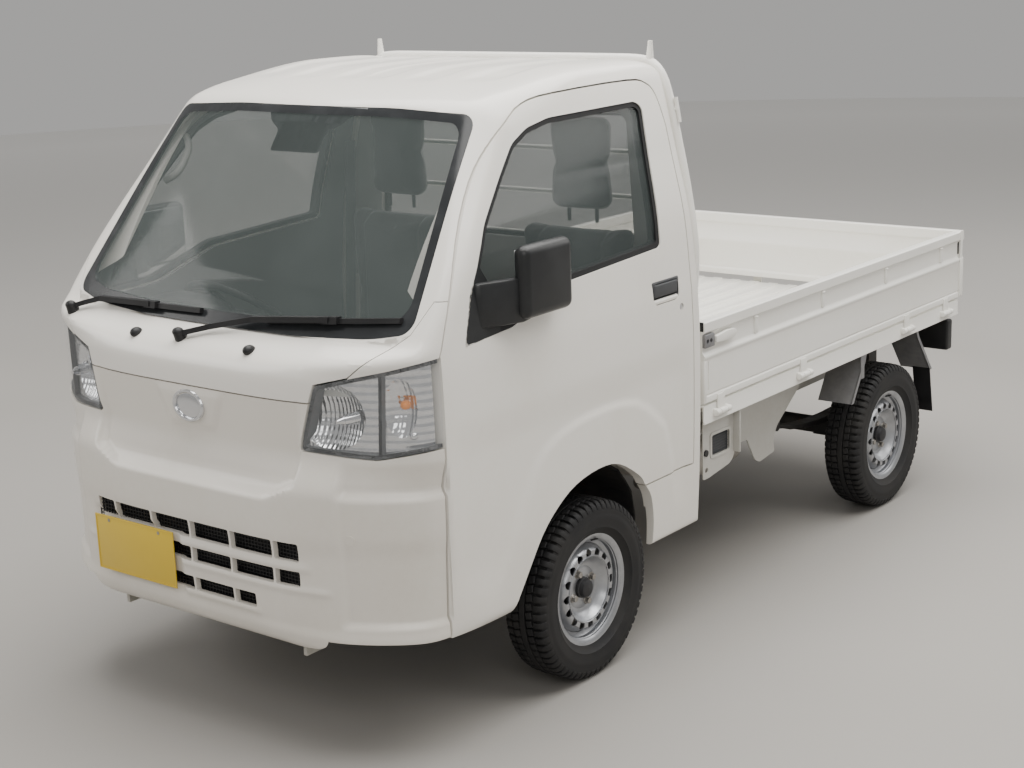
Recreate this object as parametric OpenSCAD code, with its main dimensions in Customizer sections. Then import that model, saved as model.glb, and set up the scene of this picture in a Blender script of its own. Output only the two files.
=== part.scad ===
/* [Overall] */
// Length from bumper to tailgate
overall_l = 3395; // [3000:5:3700]
// Width over the body sides, without the mirrors
overall_w = 1475; // [1400:5:1600]
// Height of the roof's crown above the ground
roof_z = 1765; // [1700:5:1900]
// Length of the cab from the bumper to its rear wall
cab_l = 1457; // [1400:5:1600]

/* [Axles and tyres] */
// Distance between the axles
wheelbase = 1900; // [1800:5:2100]
// Distance from the front of the bumper to the front axle
front_overhang = 897; // [860:5:940]
// Distance between the tyre centres on an axle
track = 1300; // [1260:5:1340]
// Outer diameter of a tyre
tyre_d = 537; // [500:1:560]
// Width of a tyre
tyre_w = 145; // [125:1:155]
// Diameter of the seat of the tyre on its rim
rim_d = 304.8; // [290:0.2:310]
// Width of the rim between its flanges
rim_w = 101.6; // [95:0.2:108]
// Radius of a wheel spindle
spindle_r = 14; // [10:0.5:18]
// Radial clearance of a pin or spindle in its bore
run_gap = 0.05; // [0.02:0.01:0.1]

/* [Cab] */
// Thickness of the doors and side walls
wall = 44; // [36:1:50]
// Thickness of the outer panels of the nose
panel = 14; // [8:1:20]
// Thickness of the bumper
bumper_t = 20; // [16:1:30]
// Depth of a headlamp
lamp_t = 90; // [70:1:110]
// Thickness of a glass pane
glass = 5; // [4:0.5:6]
// Gap round a door
door_gap = 7; // [6:0.5:9]
// Distance of the front edge of a door behind the bumper's front
door_front = 247; // [235:1:260]
// Distance of the door's rear edge ahead of the cab's rear wall
door_rear = 48; // [40:1:60]
// Height of the bottom edge of the doors
sill_z = 338; // [320:1:360]
// Height of the lower rear seam of the doors
rocker_z = 527; // [500:1:545]
// Height of the belt line at the rear of the side window
belt_z = 1222; // [1180:1:1240]
// Height of the cab floor
floor_z = 430; // [410:1:450]
// Height of the engine box that carries the seats
seat_box_z = 655; // [650:1:690]

/* [Bed] */
// Height of the bed floor
bed_z = 679; // [660:1:700]
// Height of the top edge of the gates
gate_top_z = 955; // [900:1:990]
// Thickness of a gate
gate_t = 30; // [24:1:36]
// Gap between a gate and its neighbours
gate_gap = 6; // [5:0.5:9]
// Height of the gate hinge pins
hinge_z = 657; // [650:1:662]
// Radius of the gate hinge pins
hinge_r = 3.5; // [3:0.25:4]

/* [Chassis] */
// Outer half distance between the frame rails
rail_x = 390; // [370:1:395]
// Width of a frame rail
rail_w = 60; // [50:1:70]
// Height of the frame rails' underside
rail_z = 425; // [415:1:435]
// Depth of a frame rail
rail_h = 90; // [70:1:95]
// Distance of the steering axis from the middle of the vehicle
king_x = 570; // [560:1:574]
// Angle of the steering column from the upright
column_tilt = 40; // [30:1:50]
// Outer diameter of the steering wheel
steer_d = 370; // [340:5:390]

/* [Hidden] */
$fn = 48;

hw = overall_w / 2;
y0 = -overall_l / 2;
y1 = overall_l / 2;
cab_y1 = y0 + cab_l;
front_y = y0 + front_overhang;
rear_y = front_y + wheelbase;
tyre_r = tyre_d / 2;
hub_z = tyre_r;
wheel_x = track / 2;
floor_x = hw - wall - 44;
rail_top = rail_z + rail_h;

// side of the cab: foot and head of the windscreen, then the roof and the rear wall
ws_foot = [y0 + 148, 1128];
ws_head = [y0 + 586, roof_z - 82];
nose_y = y0 + 26;
cab_side = [
    [cab_y1, sill_z - 6], [cab_y1, roof_z - 70], [cab_y1 - 24, roof_z - 28], [cab_y1 - 150, roof_z - 4],
    [cab_y1 - 520, roof_z], [ws_head[0] + 130, roof_z - 26], ws_head, ws_foot, [ws_foot[0] - 62, 1086],
    [y0 + 42, 1034], [nose_y, 860], [y0, 740], [y0, 470], [y0 + 14, 330], [y0 + 60, 300],
    [y0 + 150, 300], [y0 + door_front - door_gap, sill_z - 6]];
// half section of the cab: distance of the skin inside the widest point, and height
cab_half = [[14, 300], [4, 560], [0, 860], [4, 1030], [12, 1120], [34, 1300], [78, 1484],
    [124, roof_z - 90], [150, roof_z - 36], [200, roof_z - 12], [330, roof_z + 1]];
// half plan of the cab: distance from the middle, and depth behind the bumper's front
cab_plan_half = [[330, 5], [480, 30], [600, 84], [680, 152], [715, 200], [hw, 262]];
door_y0 = y0 + door_front;
door_y1 = cab_y1 - door_rear;
hinge_x = hw - 13;
hinge_y = door_y0 + 46;
hinge_zs = [560, 940];
door_draft = 9;

// wheel arch as offsets from the front axle
arch = [[-395, 57], [-335, 147], [-262, 251], [-190, 312], [-105, 354], [8, 372], [107, 360],
    [211, 299], [247, 258], [280, 212], [297, 132], [294, 55]];
arch_pts = [for (p = arch) [front_y, hub_z] + p * (1 + (tyre_r - 268.5) / norm(p))];
door_pts = concat(
    [[door_y0, sill_z + 8], [door_y0, 1104], [door_y0 + 62, 1230], [door_y0 + 148, 1362],
     [door_y0 + 262, 1505], [door_y0 + 346, 1585], [door_y0 + 432, 1642],
     [door_y0 + 522, roof_z - 83], [door_y0 + 665, roof_z - 66], [door_y1 - 140, roof_z - 62],
     [door_y1 - 55, roof_z - 74], [door_y1, roof_z - 130], [door_y1, rocker_z]],
    [for (i = [8:-1:0]) arch_pts[i]]);
window_pts = [[door_y0 + 98, 1118], [door_y0 + 146, 1238], [door_y0 + 248, 1401], [door_y0 + 369, 1526],
    [door_y0 + 433, 1588], [door_y0 + 510, 1621], [door_y0 + 612, roof_z - 127],
    [door_y1 - 122, roof_z - 122], [door_y1 - 94, roof_z - 141], [door_y1 - 139, belt_z],
    [door_y0 + 340, belt_z - 25], [door_y0 + 300, 1126]];
// windscreen seen from the front
ws_front = [[-632, 1154], [-560, 1141], [-300, 1131], [300, 1131], [560, 1141], [632, 1154],
    [546, roof_z - 114], [528, roof_z - 92], [300, roof_z - 85], [-300, roof_z - 85],
    [-528, roof_z - 92], [-546, roof_z - 114]];
// headlamp seen from the front, with the seam of the bonnet inboard of it
lamp_front = [[395, 859], [600, 846], [hw + 5, 878], [hw + 5, 1106], [640, 1080], [538, 1056], [443, 1032]];
seam_z = 984;
fender_front = [[542, 1060], [640, 1084], [hw + 5, 1110], [hw + 5, 1232], [690, 1232], [640, 1156]];
lamp_y1 = door_y0 - door_gap;

bed_y0 = cab_y1 + 24;
gate_x = hw - 6;
gate_z0 = bed_z + 16;
sill_x = gate_x - 4;
tail_y = y1 - 7;
side_y1 = tail_y - gate_t - gate_gap;
side_hinge_x = gate_x + 7;
tail_hinge_y = tail_y + 1;
side_hinges = [bed_y0 + 95, bed_y0 + 628, bed_y0 + 1413, side_y1 - 121];
tail_hinges = [-560, -190, 190, 560];

steer_c = [-330, y0 + 560, 1052];
seat_x = 365;
seat_w = 450;
strut_x = king_x - 38;
box_y0 = front_y - 372;
rail_drop = 125;
spring_x = rail_x + 40;
spring_w = 50;
spring_l = 430;
axle_r = 32;
spare_y = tail_y - 410;

function inset(pts, d) = [for (i = [0:len(pts) - 1])
    let (n = len(pts), a = pts[(i + n - 1) % n], b = pts[i], c = pts[(i + 1) % n],
         u = (b - a) / norm(b - a), v = (c - b) / norm(c - b),
         nu = [u[1], -u[0]], nv = [v[1], -v[0]],
         k = 1 + nu * nv)
    b + d * (nu + nv) / k];
function area2(pts) = [for (i = [0:len(pts) - 1])
    let (a = pts[i], b = pts[(i + 1) % len(pts)]) a[0] * b[1] - a[1] * b[0]] * [for (p = pts) 1];
// moves every edge of an outline inwards by d, whichever way round it runs
function shrink(pts, d) = inset(pts, area2(pts) > 0 ? -d : d);

module along_x(x0, x1) { translate([x0, 0, 0]) rotate([90, 0, 90]) linear_extrude(x1 - x0) children(); }
module along_y(a, b) { translate([0, b, 0]) rotate([90, 0, 0]) linear_extrude(b - a) children(); }
module block(a, b) { translate(a) cube(b - a); }
module both() { children(); mirror([1, 0, 0]) children(); }
module rod_x(x0, x1, r) { translate([x0, 0, 0]) rotate([0, 90, 0]) cylinder(r = r, h = x1 - x0); }
module rod_y(a, b, r) { translate([0, a, 0]) rotate([-90, 0, 0]) cylinder(r = r, h = b - a); }

// the cab's outer form, with every face moved inwards by d
module cab_form(d) {
    half = [for (p = cab_half) [hw - p[0], p[1]]];
    section = concat(half, [for (i = [len(half) - 1:-1:0]) [-half[i][0], half[i][1]]]);
    plan_half = [for (p = cab_plan_half) [p[0], y0 + p[1]]];
    plan = concat(plan_half, [[hw, cab_y1 + 50], [-hw, cab_y1 + 50]],
        [for (i = [len(plan_half) - 1:-1:0]) [-plan_half[i][0], plan_half[i][1]]]);
    intersection() {
        along_x(-hw - 50, hw + 50) polygon(shrink(cab_side, d));
        along_y(y0 - 50, cab_y1 + 50) polygon(shrink(section, d));
        translate([0, 0, 200]) linear_extrude(roof_z) polygon(shrink(plan, d));
    }
}
module cab_skin(t) { difference() { cab_form(0); cab_form(t); } }

// cuts made by a door or window outline, drafted so that the door can swing out
module side_cut(pts, x_in = 300) {
    translate([hw, door_y1, 0]) rotate([0, 0, door_draft]) translate([-x_in, 0, 0])
        rotate([90, 0, 90]) linear_extrude(x_in + 60)
            polygon([for (p = pts) [(p[0] - door_y1) * cos(door_draft), p[1]]]);
}
module door_cut() { side_cut(shrink(door_pts, -door_gap)); }
// the corner between the bonnet and the door, grown by g
module fender_block(g) {
    intersection() {
        front_cut(shrink(fender_front, g));
        block([500, y0 - 9, 900], [hw + 9, door_y0 + 85, 1300]);
    }
}
module front_cut(pts) { along_y(y0 - 20, ws_head[0] + 160) polygon(pts); }

// the whole painted cab with its windows, doors and arches cut
module cab_panels() {
    difference() {
        cab_skin(wall);
        block([-hw - 9, y0 - 9, 0], [hw + 9, door_y0 - 6, 1150]);
        block([-hw - 9, y0 - 9, 0], [hw + 9, front_y, sill_z + 80]);
        front_cut(ws_front);
        both() door_cut();
        both() fender_block(-1);
        both() along_x(200, hw + 9) polygon(concat(arch_pts, [[arch_pts[11][0], 100], [arch_pts[0][0], 100]]));
        block([-530, cab_y1 - 90, 1150], [530, cab_y1 + 9, roof_z - 150]);
        block([-hw + 80, y0, sill_z - 20], [hw - 80, cab_y1 + 9, rail_top + 6]);
    }
}
// roof, screen pillars and hinge posts
module cab_shell() {
    color("whitesmoke") {
        difference() {
            cab_panels();
            block([-hw - 9, cab_y1 - wall, 0], [hw + 9, y1, roof_z + 9]);
            block([-hw - 9, front_y, 0], [hw + 9, y1, belt_z - 100]);
        }
        both() block([hinge_x - 124.5, door_y0 - 5, floor_z], [hinge_x - 74.5, door_y0 + 60, 1090]);
        both() for (z = hinge_zs) translate([hinge_x, hinge_y, z]) {
            difference() {
                block([-90, -7, -12], [0, 7, 12]);
                translate([0, 0, -13]) cylinder(r = 6, h = 26);
            }
            translate([0, 0, -32]) cylinder(r = 4, h = 64);
            translate([0, 0, -12]) cylinder(r = 7.5, h = 24);
        }
    }
}

module cab_back() {
    color("whitesmoke") intersection() {
        cab_panels();
        block([-hw - 9, cab_y1 - wall, 0], [hw + 9, y1, roof_z + 9]);
    }
}
module cab_corners() {
    color("whitesmoke") intersection() {
        cab_panels();
        block([-hw - 9, front_y, 0], [hw + 9, cab_y1 - wall, belt_z - 100]);
    }
}
module cab_floor() {
    color("gainsboro") difference() {
        block([-floor_x, door_y0 - 20, floor_z - 30], [floor_x, box_y0, floor_z]);
        both() block([hinge_x - 126.5, door_y0 - 21, 0], [hinge_x, door_y0 + 62, roof_z]);
    }
    // cab mounts on the rails
    color("black") both() for (y = [door_y0 + 80, box_y0 - 40])
        translate([rail_x - rail_w / 2, y, rail_top - rail_drop])
            cylinder(r = 26, h = floor_z - 30 - rail_top + rail_drop);
}
module firewall() {
    color("gainsboro") {
        block([-590, door_y0 - 20, floor_z], [590, door_y0 - 14, 770]);
        // lamp brackets
        both() along_x(440, 446) polygon([[door_y0 - 19, 660], [door_y0 - 19, 770], [y0 + 180, 790],
            [y0 + 180, 900], [y0 + 30 + lamp_t, 900], [y0 + 30 + lamp_t, 850]]);
    }
}
module engine_cover() {
    color("gainsboro") difference() {
        block([-floor_x, box_y0, floor_z - 30], [floor_x, cab_y1 - wall, seat_box_z]);
        block([-hw, box_y0 + 14, floor_z - 40], [hw, cab_y1 - wall - 15, seat_box_z - 8]);
        block([-hw, cab_y1 - wall - 20, 0], [hw, cab_y1, rail_top + 4]);
    }
}
module wheel_housings() {
    far_y = cab_y1 - wall - 17;
    well = [for (p = arch_pts) [p[0] > front_y ? min(p[0] + 14, far_y) : p[0], p[1]]];
    color("dimgray") both() difference() {
        union() {
            along_x(404, floor_x) polygon(well);
            block([404, front_y - 50, 600], [410, front_y + 50, seat_box_z - 8]);
        }
        along_x(410, hw) polygon(shrink(concat(well, [[well[11][0], hub_z - 90], [well[0][0], hub_z - 90]]), 6));
        block([300, box_y0 - 60, 100], [hw, cab_y1, hub_z + 60]);
        block([300, box_y0 - 90, floor_z - 44], [hw, box_y0 + 15, floor_z + 3]);
    }
}

module nose_panel() {
    color("whitesmoke") intersection() {
            cab_skin(panel);
            front_cut([[-427, seam_z + 3], [427, seam_z + 3], [440, 1036], [537, 1061], [632, 1150],
                [560, 1137], [300, 1127], [-300, 1127], [-560, 1137], [-632, 1150], [-537, 1061], [-440, 1036]]);
            block([-hw, y0 - 9, 900], [hw, ws_foot[0] + 60, 1200]);
    }
}

module fenders() {
    color("whitesmoke") both() difference() {
        intersection() {
            cab_skin(panel);
            fender_block(0);
        }
        side_cut(shrink(door_pts, -door_gap - 0.2));
    }
}

module front_bumper() {
    cells = [-402, -315, -157, 0, 157, 315, 402];
    color("linen") difference() {
        intersection() {
            cab_form(0);
            block([-hw - 9, y0 - 9, 290], [hw + 9, lamp_y1, seam_z]);
        }
        cab_form(bumper_t);
        both() front_cut(shrink(lamp_front, -4));
        both() door_cut();
        for (row = [[562, 613, 402, 0, 5], [493, 536, 402, 0, 5], [408, 448, 239, 1, 4]])
            for (i = [row[3]:row[4]])
                block([max(cells[i] + 7, -row[2]), y0 - 9, row[0]], [min(cells[i + 1] - 7, row[2]), y0 + 60, row[1]]);
        block([-433, y0 - 9, 395], [-37, y0 + 6, 571]);
        along_x(60 - hw, hw - 60) polygon([[y0 + 30, 280], [y0 + 30, 305 + bumper_t],
            [lamp_y1 + 9, 345 + bumper_t], [lamp_y1 + 9, 280]]);
    }
}

module headlamps() {
    color("lightgray") both() difference() {
        intersection() {
            cab_form(0.5);
            front_cut(lamp_front);
            block([380, y0 - 9, 800], [hw + 5, lamp_y1, 1120]);
        }
        door_cut();
        translate([0, 0, 800]) linear_extrude(400) polygon([[300, y0 + 30 + lamp_t], [480, y0 + 30 + lamp_t],
            [600, y0 + 84 + lamp_t], [650, lamp_y1 + 9], [300, lamp_y1 + 9]]);
    }
}

module windscreen() {
    color("darkslategray", 0.6) intersection() {
        difference() { cab_form(2); cab_form(2 + glass); }
        front_cut(shrink(ws_front, 0.5));
        block([-hw, y0, 1090], [hw, ws_head[0] + 150, roof_z - 60]);
    }
}

module rear_window() {
    color("darkslategray", 0.6)
        block([-529.5, cab_y1 - 20, 1150.5], [529.5, cab_y1 - 20 + glass, roof_z - 150.5]);
}

module door() {
    color("whitesmoke") difference() {
        intersection() {
            cab_skin(wall);
            side_cut(door_pts);
        }
        side_cut(window_pts);
        for (z = hinge_zs)
            block([hinge_x - 90, door_y0 - 30, z - 42], [hinge_x + 8.5, hinge_y + 14, z + 42]);
    }
    color("dimgray") for (z = hinge_zs) for (s = [0, 1]) translate([hinge_x, hinge_y, z]) mirror([0, 0, s])
        difference() {
            union() {
                translate([0, 0, 13]) cylinder(r = 7.5, h = 18);
                block([-7.5, 0, 13], [5, 14, 31]);
            }
            cylinder(r = 4 + run_gap, h = 40);
        }
    color("dimgray") intersection() {
        difference() { cab_form(-14); cab_form(0); }
        block([hw - 60, door_y1 - 205, 1074], [hw + 20, door_y1 - 70, 1098]);
    }
}
module door_left() { door(); }
module door_right() { mirror([1, 0, 0]) door(); }

module door_glass() {
    color("darkslategray", 0.6) intersection() {
        difference() { cab_form(14); cab_form(14 + glass); }
        side_cut(shrink(window_pts, 0.4));
    }
}
module door_glass_left() { door_glass(); }
module door_glass_right() { mirror([1, 0, 0]) door_glass(); }

// rear-view mirror folded against the side window
module mirror_arm_head() {
    color("black") {
        block([hw + 12, door_y0 + 282, 1152], [hw + 54, door_y0 + 492, 1344]);
        block([hw - 14, door_y0 + 262, 1138], [hw + 30, door_y0 + 290, 1170]);
        intersection() {
            difference() { cab_form(-2); cab_form(13.8); }
            side_cut(shrink([[door_y0 + 98, 1118], [door_y0 + 146, 1238], [door_y0 + 170, 1276],
                [door_y0 + 292, 1200], [door_y0 + 300, 1126]], 1));
        }
    }
}
module mirror_left() { mirror_arm_head(); }
module mirror_right() { mirror([1, 0, 0]) mirror_arm_head(); }

module dashboard() {
    color("dimgray") difference() {
        intersection() {
            cab_form(wall + 10);
            along_x(-hw, hw) polygon([[y0 + 190, 800], [y0 + 420, 780], [y0 + 450, 900], [y0 + 430, 1060],
                [y0 + 390, 1094], [y0 + 260, 1116], [y0 + 165, 1124], [y0 + 165, 1110], [y0 + 190, 1108]]);
            block([-600, y0, 700], [600, cab_y1, roof_z]);
        }
        translate(steer_c) rotate([-column_tilt, 0, 0]) translate([0, 0, -420]) cylinder(r = 34, h = 800);
    }
}

module steering_column() {
    color("dimgray") translate(steer_c) rotate([-column_tilt, 0, 0]) {
        translate([0, 0, -330]) cylinder(r = 33, h = 270);
        translate([0, 0, -61]) cylinder(r = 9, h = 50);
    }
}

module steering_wheel() {
    color("black") translate(steer_c) rotate([-column_tilt, 0, 0]) difference() {
        union() {
            rotate_extrude() translate([steer_d / 2 - 14, 0]) circle(r = 14);
            translate([0, 0, -42]) cylinder(r = 60, h = 36);
            for (a = [15, 165, 270]) rotate([0, 0, a]) translate([40, -14, -26]) cube([steer_d / 2 - 60, 28, 14]);
            for (a = [15, 165, 270]) rotate([0, 0, a]) translate([steer_d / 2 - 32, -14, -26]) cube([18, 28, 26]);
        }
        translate([0, 0, -80]) cylinder(r = 9 + run_gap, h = 70);
    }
}

module seat_cushions() {
    color("dimgray") both() block([seat_x - seat_w / 2, cab_y1 - 610, seat_box_z + 20.3],
        [seat_x + seat_w / 2, cab_y1 - 170.3, seat_box_z + 150]);
    color("dimgray") both() block([seat_x - 180, cab_y1 - 580, seat_box_z], [seat_x + 180, cab_y1 - 60, seat_box_z + 20]);
}

// backrests with their built-in head restraints
module seat_backs() {
    back_y = cab_y1 - wall - 8;
    color("dimgray") both() {
        along_x(seat_x - seat_w / 2, seat_x + seat_w / 2) polygon([[cab_y1 - 170, seat_box_z + 20.3],
            [back_y - 10, seat_box_z + 20.3], [back_y, 1280], [back_y - 110, 1280]]);
        along_x(seat_x - 105, seat_x + 130) polygon([[back_y, 1280], [back_y - 14, 1596],
            [back_y - 80, 1604], [back_y - 96, 1280]]);
    }
}

module wipers() {
    color("black") for (x = [-560, -40]) translate([x, 0, 0]) difference() {
        intersection() {
            difference() { cab_form(-11); cab_form(-0.3); }
            along_y(y0 - 30, y0 + 500) polygon([[0, 1100], [20, 1094], [470, 1160], [470, 1180], [200, 1150]]);
        }
    }
}

module number_plates() {
    color("gold") block([-400, y0, 400], [-70, y0 + 6, 565]);
    color("gold") block([-165, tail_y - 80, 436], [165, tail_y - 77, 601]);
}

module frame_rails() {
    kick = box_y0 + 22;
    color("silver") both() {
        intersection() {
            cab_form(bumper_t);
            block([rail_x - rail_w, y0, rail_z - rail_drop + 30], [rail_x, y0 + 130, rail_top - rail_drop - 10]);
        }
        along_x(rail_x - rail_w, rail_x) polygon([[y0 + 130, rail_z - rail_drop],
        [kick, rail_z - rail_drop], [kick + 120, rail_z], [tail_y - 70, rail_z], [tail_y - 70, rail_top],
        [kick + 110, rail_top], [kick - 10, rail_top - rail_drop], [y0 + 130, rail_top - rail_drop]]);
    }
}

module crossmembers() {
    color("silver") {
        block([-rail_x + rail_w, y0 + 150, rail_z - rail_drop + 12], [rail_x - rail_w, y0 + 200, rail_top - rail_drop - 12]);
        for (y = [cab_y1 - wall - 20, rear_y - 540, rear_y - 240, tail_y - 130])
            block([-rail_x + rail_w, y, rail_z + 12], [rail_x - rail_w, y + 50, rail_top - 12]);
        block([-rail_x + rail_w, spare_y - 15, bed_z - 104], [rail_x - rail_w, spare_y + 15, bed_z - 79]);
        both() difference() {
            block([rail_x - 36, y0 + 60, rail_z - rail_drop - 20], [rail_x - 24, y0 + 130, rail_z - rail_drop + 30]);
            translate([0, y0 + 84, rail_z - rail_drop + 4]) rod_x(0, hw, 12);
        }
    }
}

module front_suspension() {
    strut_top = seat_box_z - 30.5;
    beam_x = rail_x - 90;
    color("dimgray") {
        block([-beam_x, front_y - 60, 190], [beam_x, front_y + 60, 250]);
        both() block([beam_x - 60, front_y - 40, 250], [beam_x, front_y + 40, rail_z + 10]);
        both() block([beam_x, front_y - 40, rail_z - 40], [rail_x - 10, front_y + 40, rail_z]);
        both() block([beam_x, front_y - 26, 178], [king_x + 18, front_y + 26, 192]);
        both() translate([king_x, front_y, 178]) cylinder(r = 8, h = 44);
        both() translate([strut_x, front_y, 330]) cylinder(r = 19, h = strut_top - 330);
        both() translate([strut_x, front_y, tyre_d + 14]) cylinder(r = 46, h = strut_top - 6 - tyre_d - 14);
        both() block([strut_x - 19, front_y - 19, 330], [king_x + 14, front_y + 19, 344]);
        both() translate([king_x, front_y, 300]) cylinder(r = 8, h = 44);
    }
}

module knuckle() {
    color("dimgray") difference() {
        union() {
            block([king_x - 17, front_y - 20, 194], [king_x + 17, front_y + 20, 328]);
            block([king_x - 10, front_y - 60, hub_z - 12], [king_x + 10, front_y + 60, hub_z + 12]);
            translate([0, front_y, hub_z]) rod_x(king_x, king_x + 38, 30);
            translate([0, front_y, hub_z]) rod_x(king_x + 38, wheel_x + 32, spindle_r);
        }
        translate([king_x, front_y, 150]) cylinder(r = 8 + run_gap, h = 73);
        translate([king_x, front_y, 299]) cylinder(r = 8 + run_gap, h = 60);
    }
}
module knuckle_left() { knuckle(); }
module knuckle_right() { mirror([1, 0, 0]) knuckle(); }

module rear_axle() {
    color("dimgray") translate([0, rear_y, hub_z]) {
        rod_x(-king_x, king_x, axle_r);
        rod_x(-60, 60, 98);
        both() block([spring_x - 8, -45, -24], [spring_x + spring_w + 8, 45, axle_r]);
        both() rod_x(king_x, king_x + 38, 45);
        both() rod_x(king_x + 38, wheel_x + 32, spindle_r);
        block([-40, -150, -40], [40, -60, 40]);
    }
}

// one leaf: a bowed strip of half length l, its middle at height z
function bow(y) = 52 * pow(y / spring_l, 2);
module leaf(l, z, t) {
    steps = [-1:0.25:1];
    along_x(spring_x, spring_x + spring_w) polygon(concat(
        [for (k = steps) [rear_y + k * l, z + bow(k * l)]],
        [for (k = steps) [rear_y - k * l, z + t + bow(k * l)]]));
}
module leaf_springs() {
    pad_z = hub_z + axle_r;
    eye_z = pad_z + 24 + bow(spring_l);
    color("dimgray") both() {
        for (i = [0:2]) leaf(spring_l - 105 * (2 - i), pad_z + 6 * i, 8);
        for (s = [-1, 1]) translate([0, rear_y + s * spring_l, eye_z]) rod_x(spring_x - 6, spring_x + spring_w + 6, 20);
    }
    color("silver") both() for (s = [-1, 1])
        block([rail_x, rear_y + s * spring_l - 34, eye_z - 14], [spring_x, rear_y + s * spring_l + 34, rail_top - 6]);
}

module engine_block() {
    color("darkgray") block([-250, front_y + 70, 262], [250, cab_y1 - wall - 20, rail_top + 80]);
}

module fuel_tank() {
    color("black") {
        block([-650, cab_y1 + 90, 300], [-rail_x - 14, cab_y1 + 560, 560]);
        for (y = [150, 470]) block([-rail_x - 15, cab_y1 + y, rail_z + 10], [-rail_x, cab_y1 + y + 40, rail_top - 10]);
    }
}

module silencer() {
    color("silver") {
        translate([480, 0, 400]) rod_y(cab_y1 + 190, cab_y1 + 560, 62);
        translate([480, 0, 400]) rod_y(cab_y1 + 20, cab_y1 + 191, 20);
        for (y = [230, 500]) block([rail_x, cab_y1 + y, 455], [500, cab_y1 + y + 20, 475]);
    }
}

module ring_x(pts) { rotate([0, 90, 0]) rotate_extrude() polygon(pts); }

// tyre seen in section: radius from the axle, then place across its width
module tyre() {
    w = tyre_w / 2;
    b = rim_w / 2;
    r0 = rim_d / 2;
    color([0.09, 0.09, 0.1]) ring_x([[r0, -b + 1], [r0 + 17, -b + 1], [r0 + 34, -w + 8], [r0 + 60, -w],
        [tyre_r - 26, -w + 4], [tyre_r - 8, -w + 12], [tyre_r - 1, -w + 22], [tyre_r, -w + 36], [tyre_r, w - 36],
        [tyre_r - 1, w - 22], [tyre_r - 8, w - 12], [tyre_r - 26, w - 4], [r0 + 60, w], [r0 + 34, w - 8],
        [r0 + 17, b - 1], [r0, b - 1]]);
}

// rim, disc and hub, with the outer side at +X
module wheel() {
    b = rim_w / 2;
    r0 = rim_d / 2;
    color("silver") difference() {
        union() {
            ring_x([[r0 + 17, -b - 4], [r0 + 17, -b], [r0, -b], [r0, b], [r0 + 17, b], [r0 + 17, b + 4],
                [r0 - 5, b + 4], [r0 - 5, -b - 4]]);
            ring_x([[spindle_r + run_gap, 10], [36, 10], [36, 27], [84, 27], [104, 38], [124, 36], [r0 - 4.5, 12],
                [r0 - 4.5, 20], [126, 44], [102, 46], [80, 35], [34, 35], [30, 42], [spindle_r + run_gap, 42]]);
            ring_x([[spindle_r + run_gap, -38], [60, -38], [96, -30], [110, -30], [110, 10], [100, 10], [96, 2],
                [spindle_r + run_gap, 11]]);
        }
        for (a = [0:22.5:337.5]) rotate([a, 0, 0]) translate([0, 0, 114]) rod_x(30, 60, 8);
    }
}
module wheel_at(side, y) { translate([side * wheel_x, y, hub_z]) mirror([side < 0 ? 1 : 0, 0, 0]) children(); }

module wheel_front_left() { wheel_at(1, front_y) wheel(); }
module wheel_front_right() { wheel_at(-1, front_y) wheel(); }
module wheel_rear_left() { wheel_at(1, rear_y) wheel(); }
module wheel_rear_right() { wheel_at(-1, rear_y) wheel(); }
module tyre_front_left() { wheel_at(1, front_y) tyre(); }
module tyre_front_right() { wheel_at(-1, front_y) tyre(); }
module tyre_rear_left() { wheel_at(1, rear_y) tyre(); }
module tyre_rear_right() { wheel_at(-1, rear_y) tyre(); }

module spare_wheel() {
    translate([0, spare_y, rail_z + 60]) rotate([0, 90, 0]) {
        tyre();
        wheel();
    }
    color("dimgray") translate([0, spare_y, rail_z + 60]) cylinder(r = spindle_r + run_gap, h = bed_z - 104 - rail_z - 60);
}

module bed_floor() {
    color("whitesmoke") {
        block([-sill_x + 32, bed_y0 + 20, bed_z - 19], [sill_x - 32, tail_y - gate_t - gate_gap, bed_z]);
        both() block([sill_x - 32, bed_y0, bed_z - 52], [sill_x, tail_y - gate_t - gate_gap, bed_z + 9]);
    }
}

module bed_beams() {
    color("silver") for (y = [bed_y0 + 30, bed_y0 + 470, bed_y0 + 930, bed_y0 + 1390, tail_y - 130])
        block([-sill_x + 60, y, bed_z - 70], [sill_x - 60, y + 60, bed_z - 19]);
}
module bed_sills() {
    color("silver") both() block([rail_x - rail_w, bed_y0 + 31, rail_top], [rail_x, tail_y - 75, bed_z - 70]);
}

module headboard() {
    color("whitesmoke") block([-690, bed_y0, bed_z - 19], [690, bed_y0 + 20, gate_top_z]);
}

module guard_frame() {
    post_x = 690;
    color("whitesmoke") {
        both() {
            block([post_x - 30, bed_y0 - 12, gate_top_z], [post_x, bed_y0 + 18, 1140]);
        }
        difference() {
            along_y(bed_y0 - 12, bed_y0 + 18) polygon([[-post_x, 1140], [-post_x + 4, 1290], [-645, 1480],
                [-605, 1650], [-570, 1745], [-520, 1766], [520, 1766], [570, 1745], [605, 1650], [645, 1480],
                [post_x - 4, 1290], [post_x, 1140], [post_x - 30, 1140], [post_x - 34, 1286], [615, 1474],
                [576, 1640], [545, 1725], [510, 1737], [-510, 1737], [-545, 1725], [-576, 1640], [-615, 1474],
                [-post_x + 34, 1286], [-post_x + 30, 1140]]);
        }
        for (z = [1180, 1320, 1460]) {
            x = lookup(z, [[1140, 660], [1286, 656], [1474, 615]]) + 4;
            block([-x, bed_y0 - 6, z], [x, bed_y0 + 8, z + 14]);
        }
        // rope hooks on the top corners and the sides
        both() translate([546, bed_y0 + 3, 1760]) cylinder(r1 = 12, r2 = 7, h = 46);
        both() translate([0, bed_y0 + 3, 1603]) rod_x(598, 644, 6);
        both() translate([643, bed_y0 + 3, 1565]) cylinder(r = 6, h = 74);
    }
}

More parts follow.
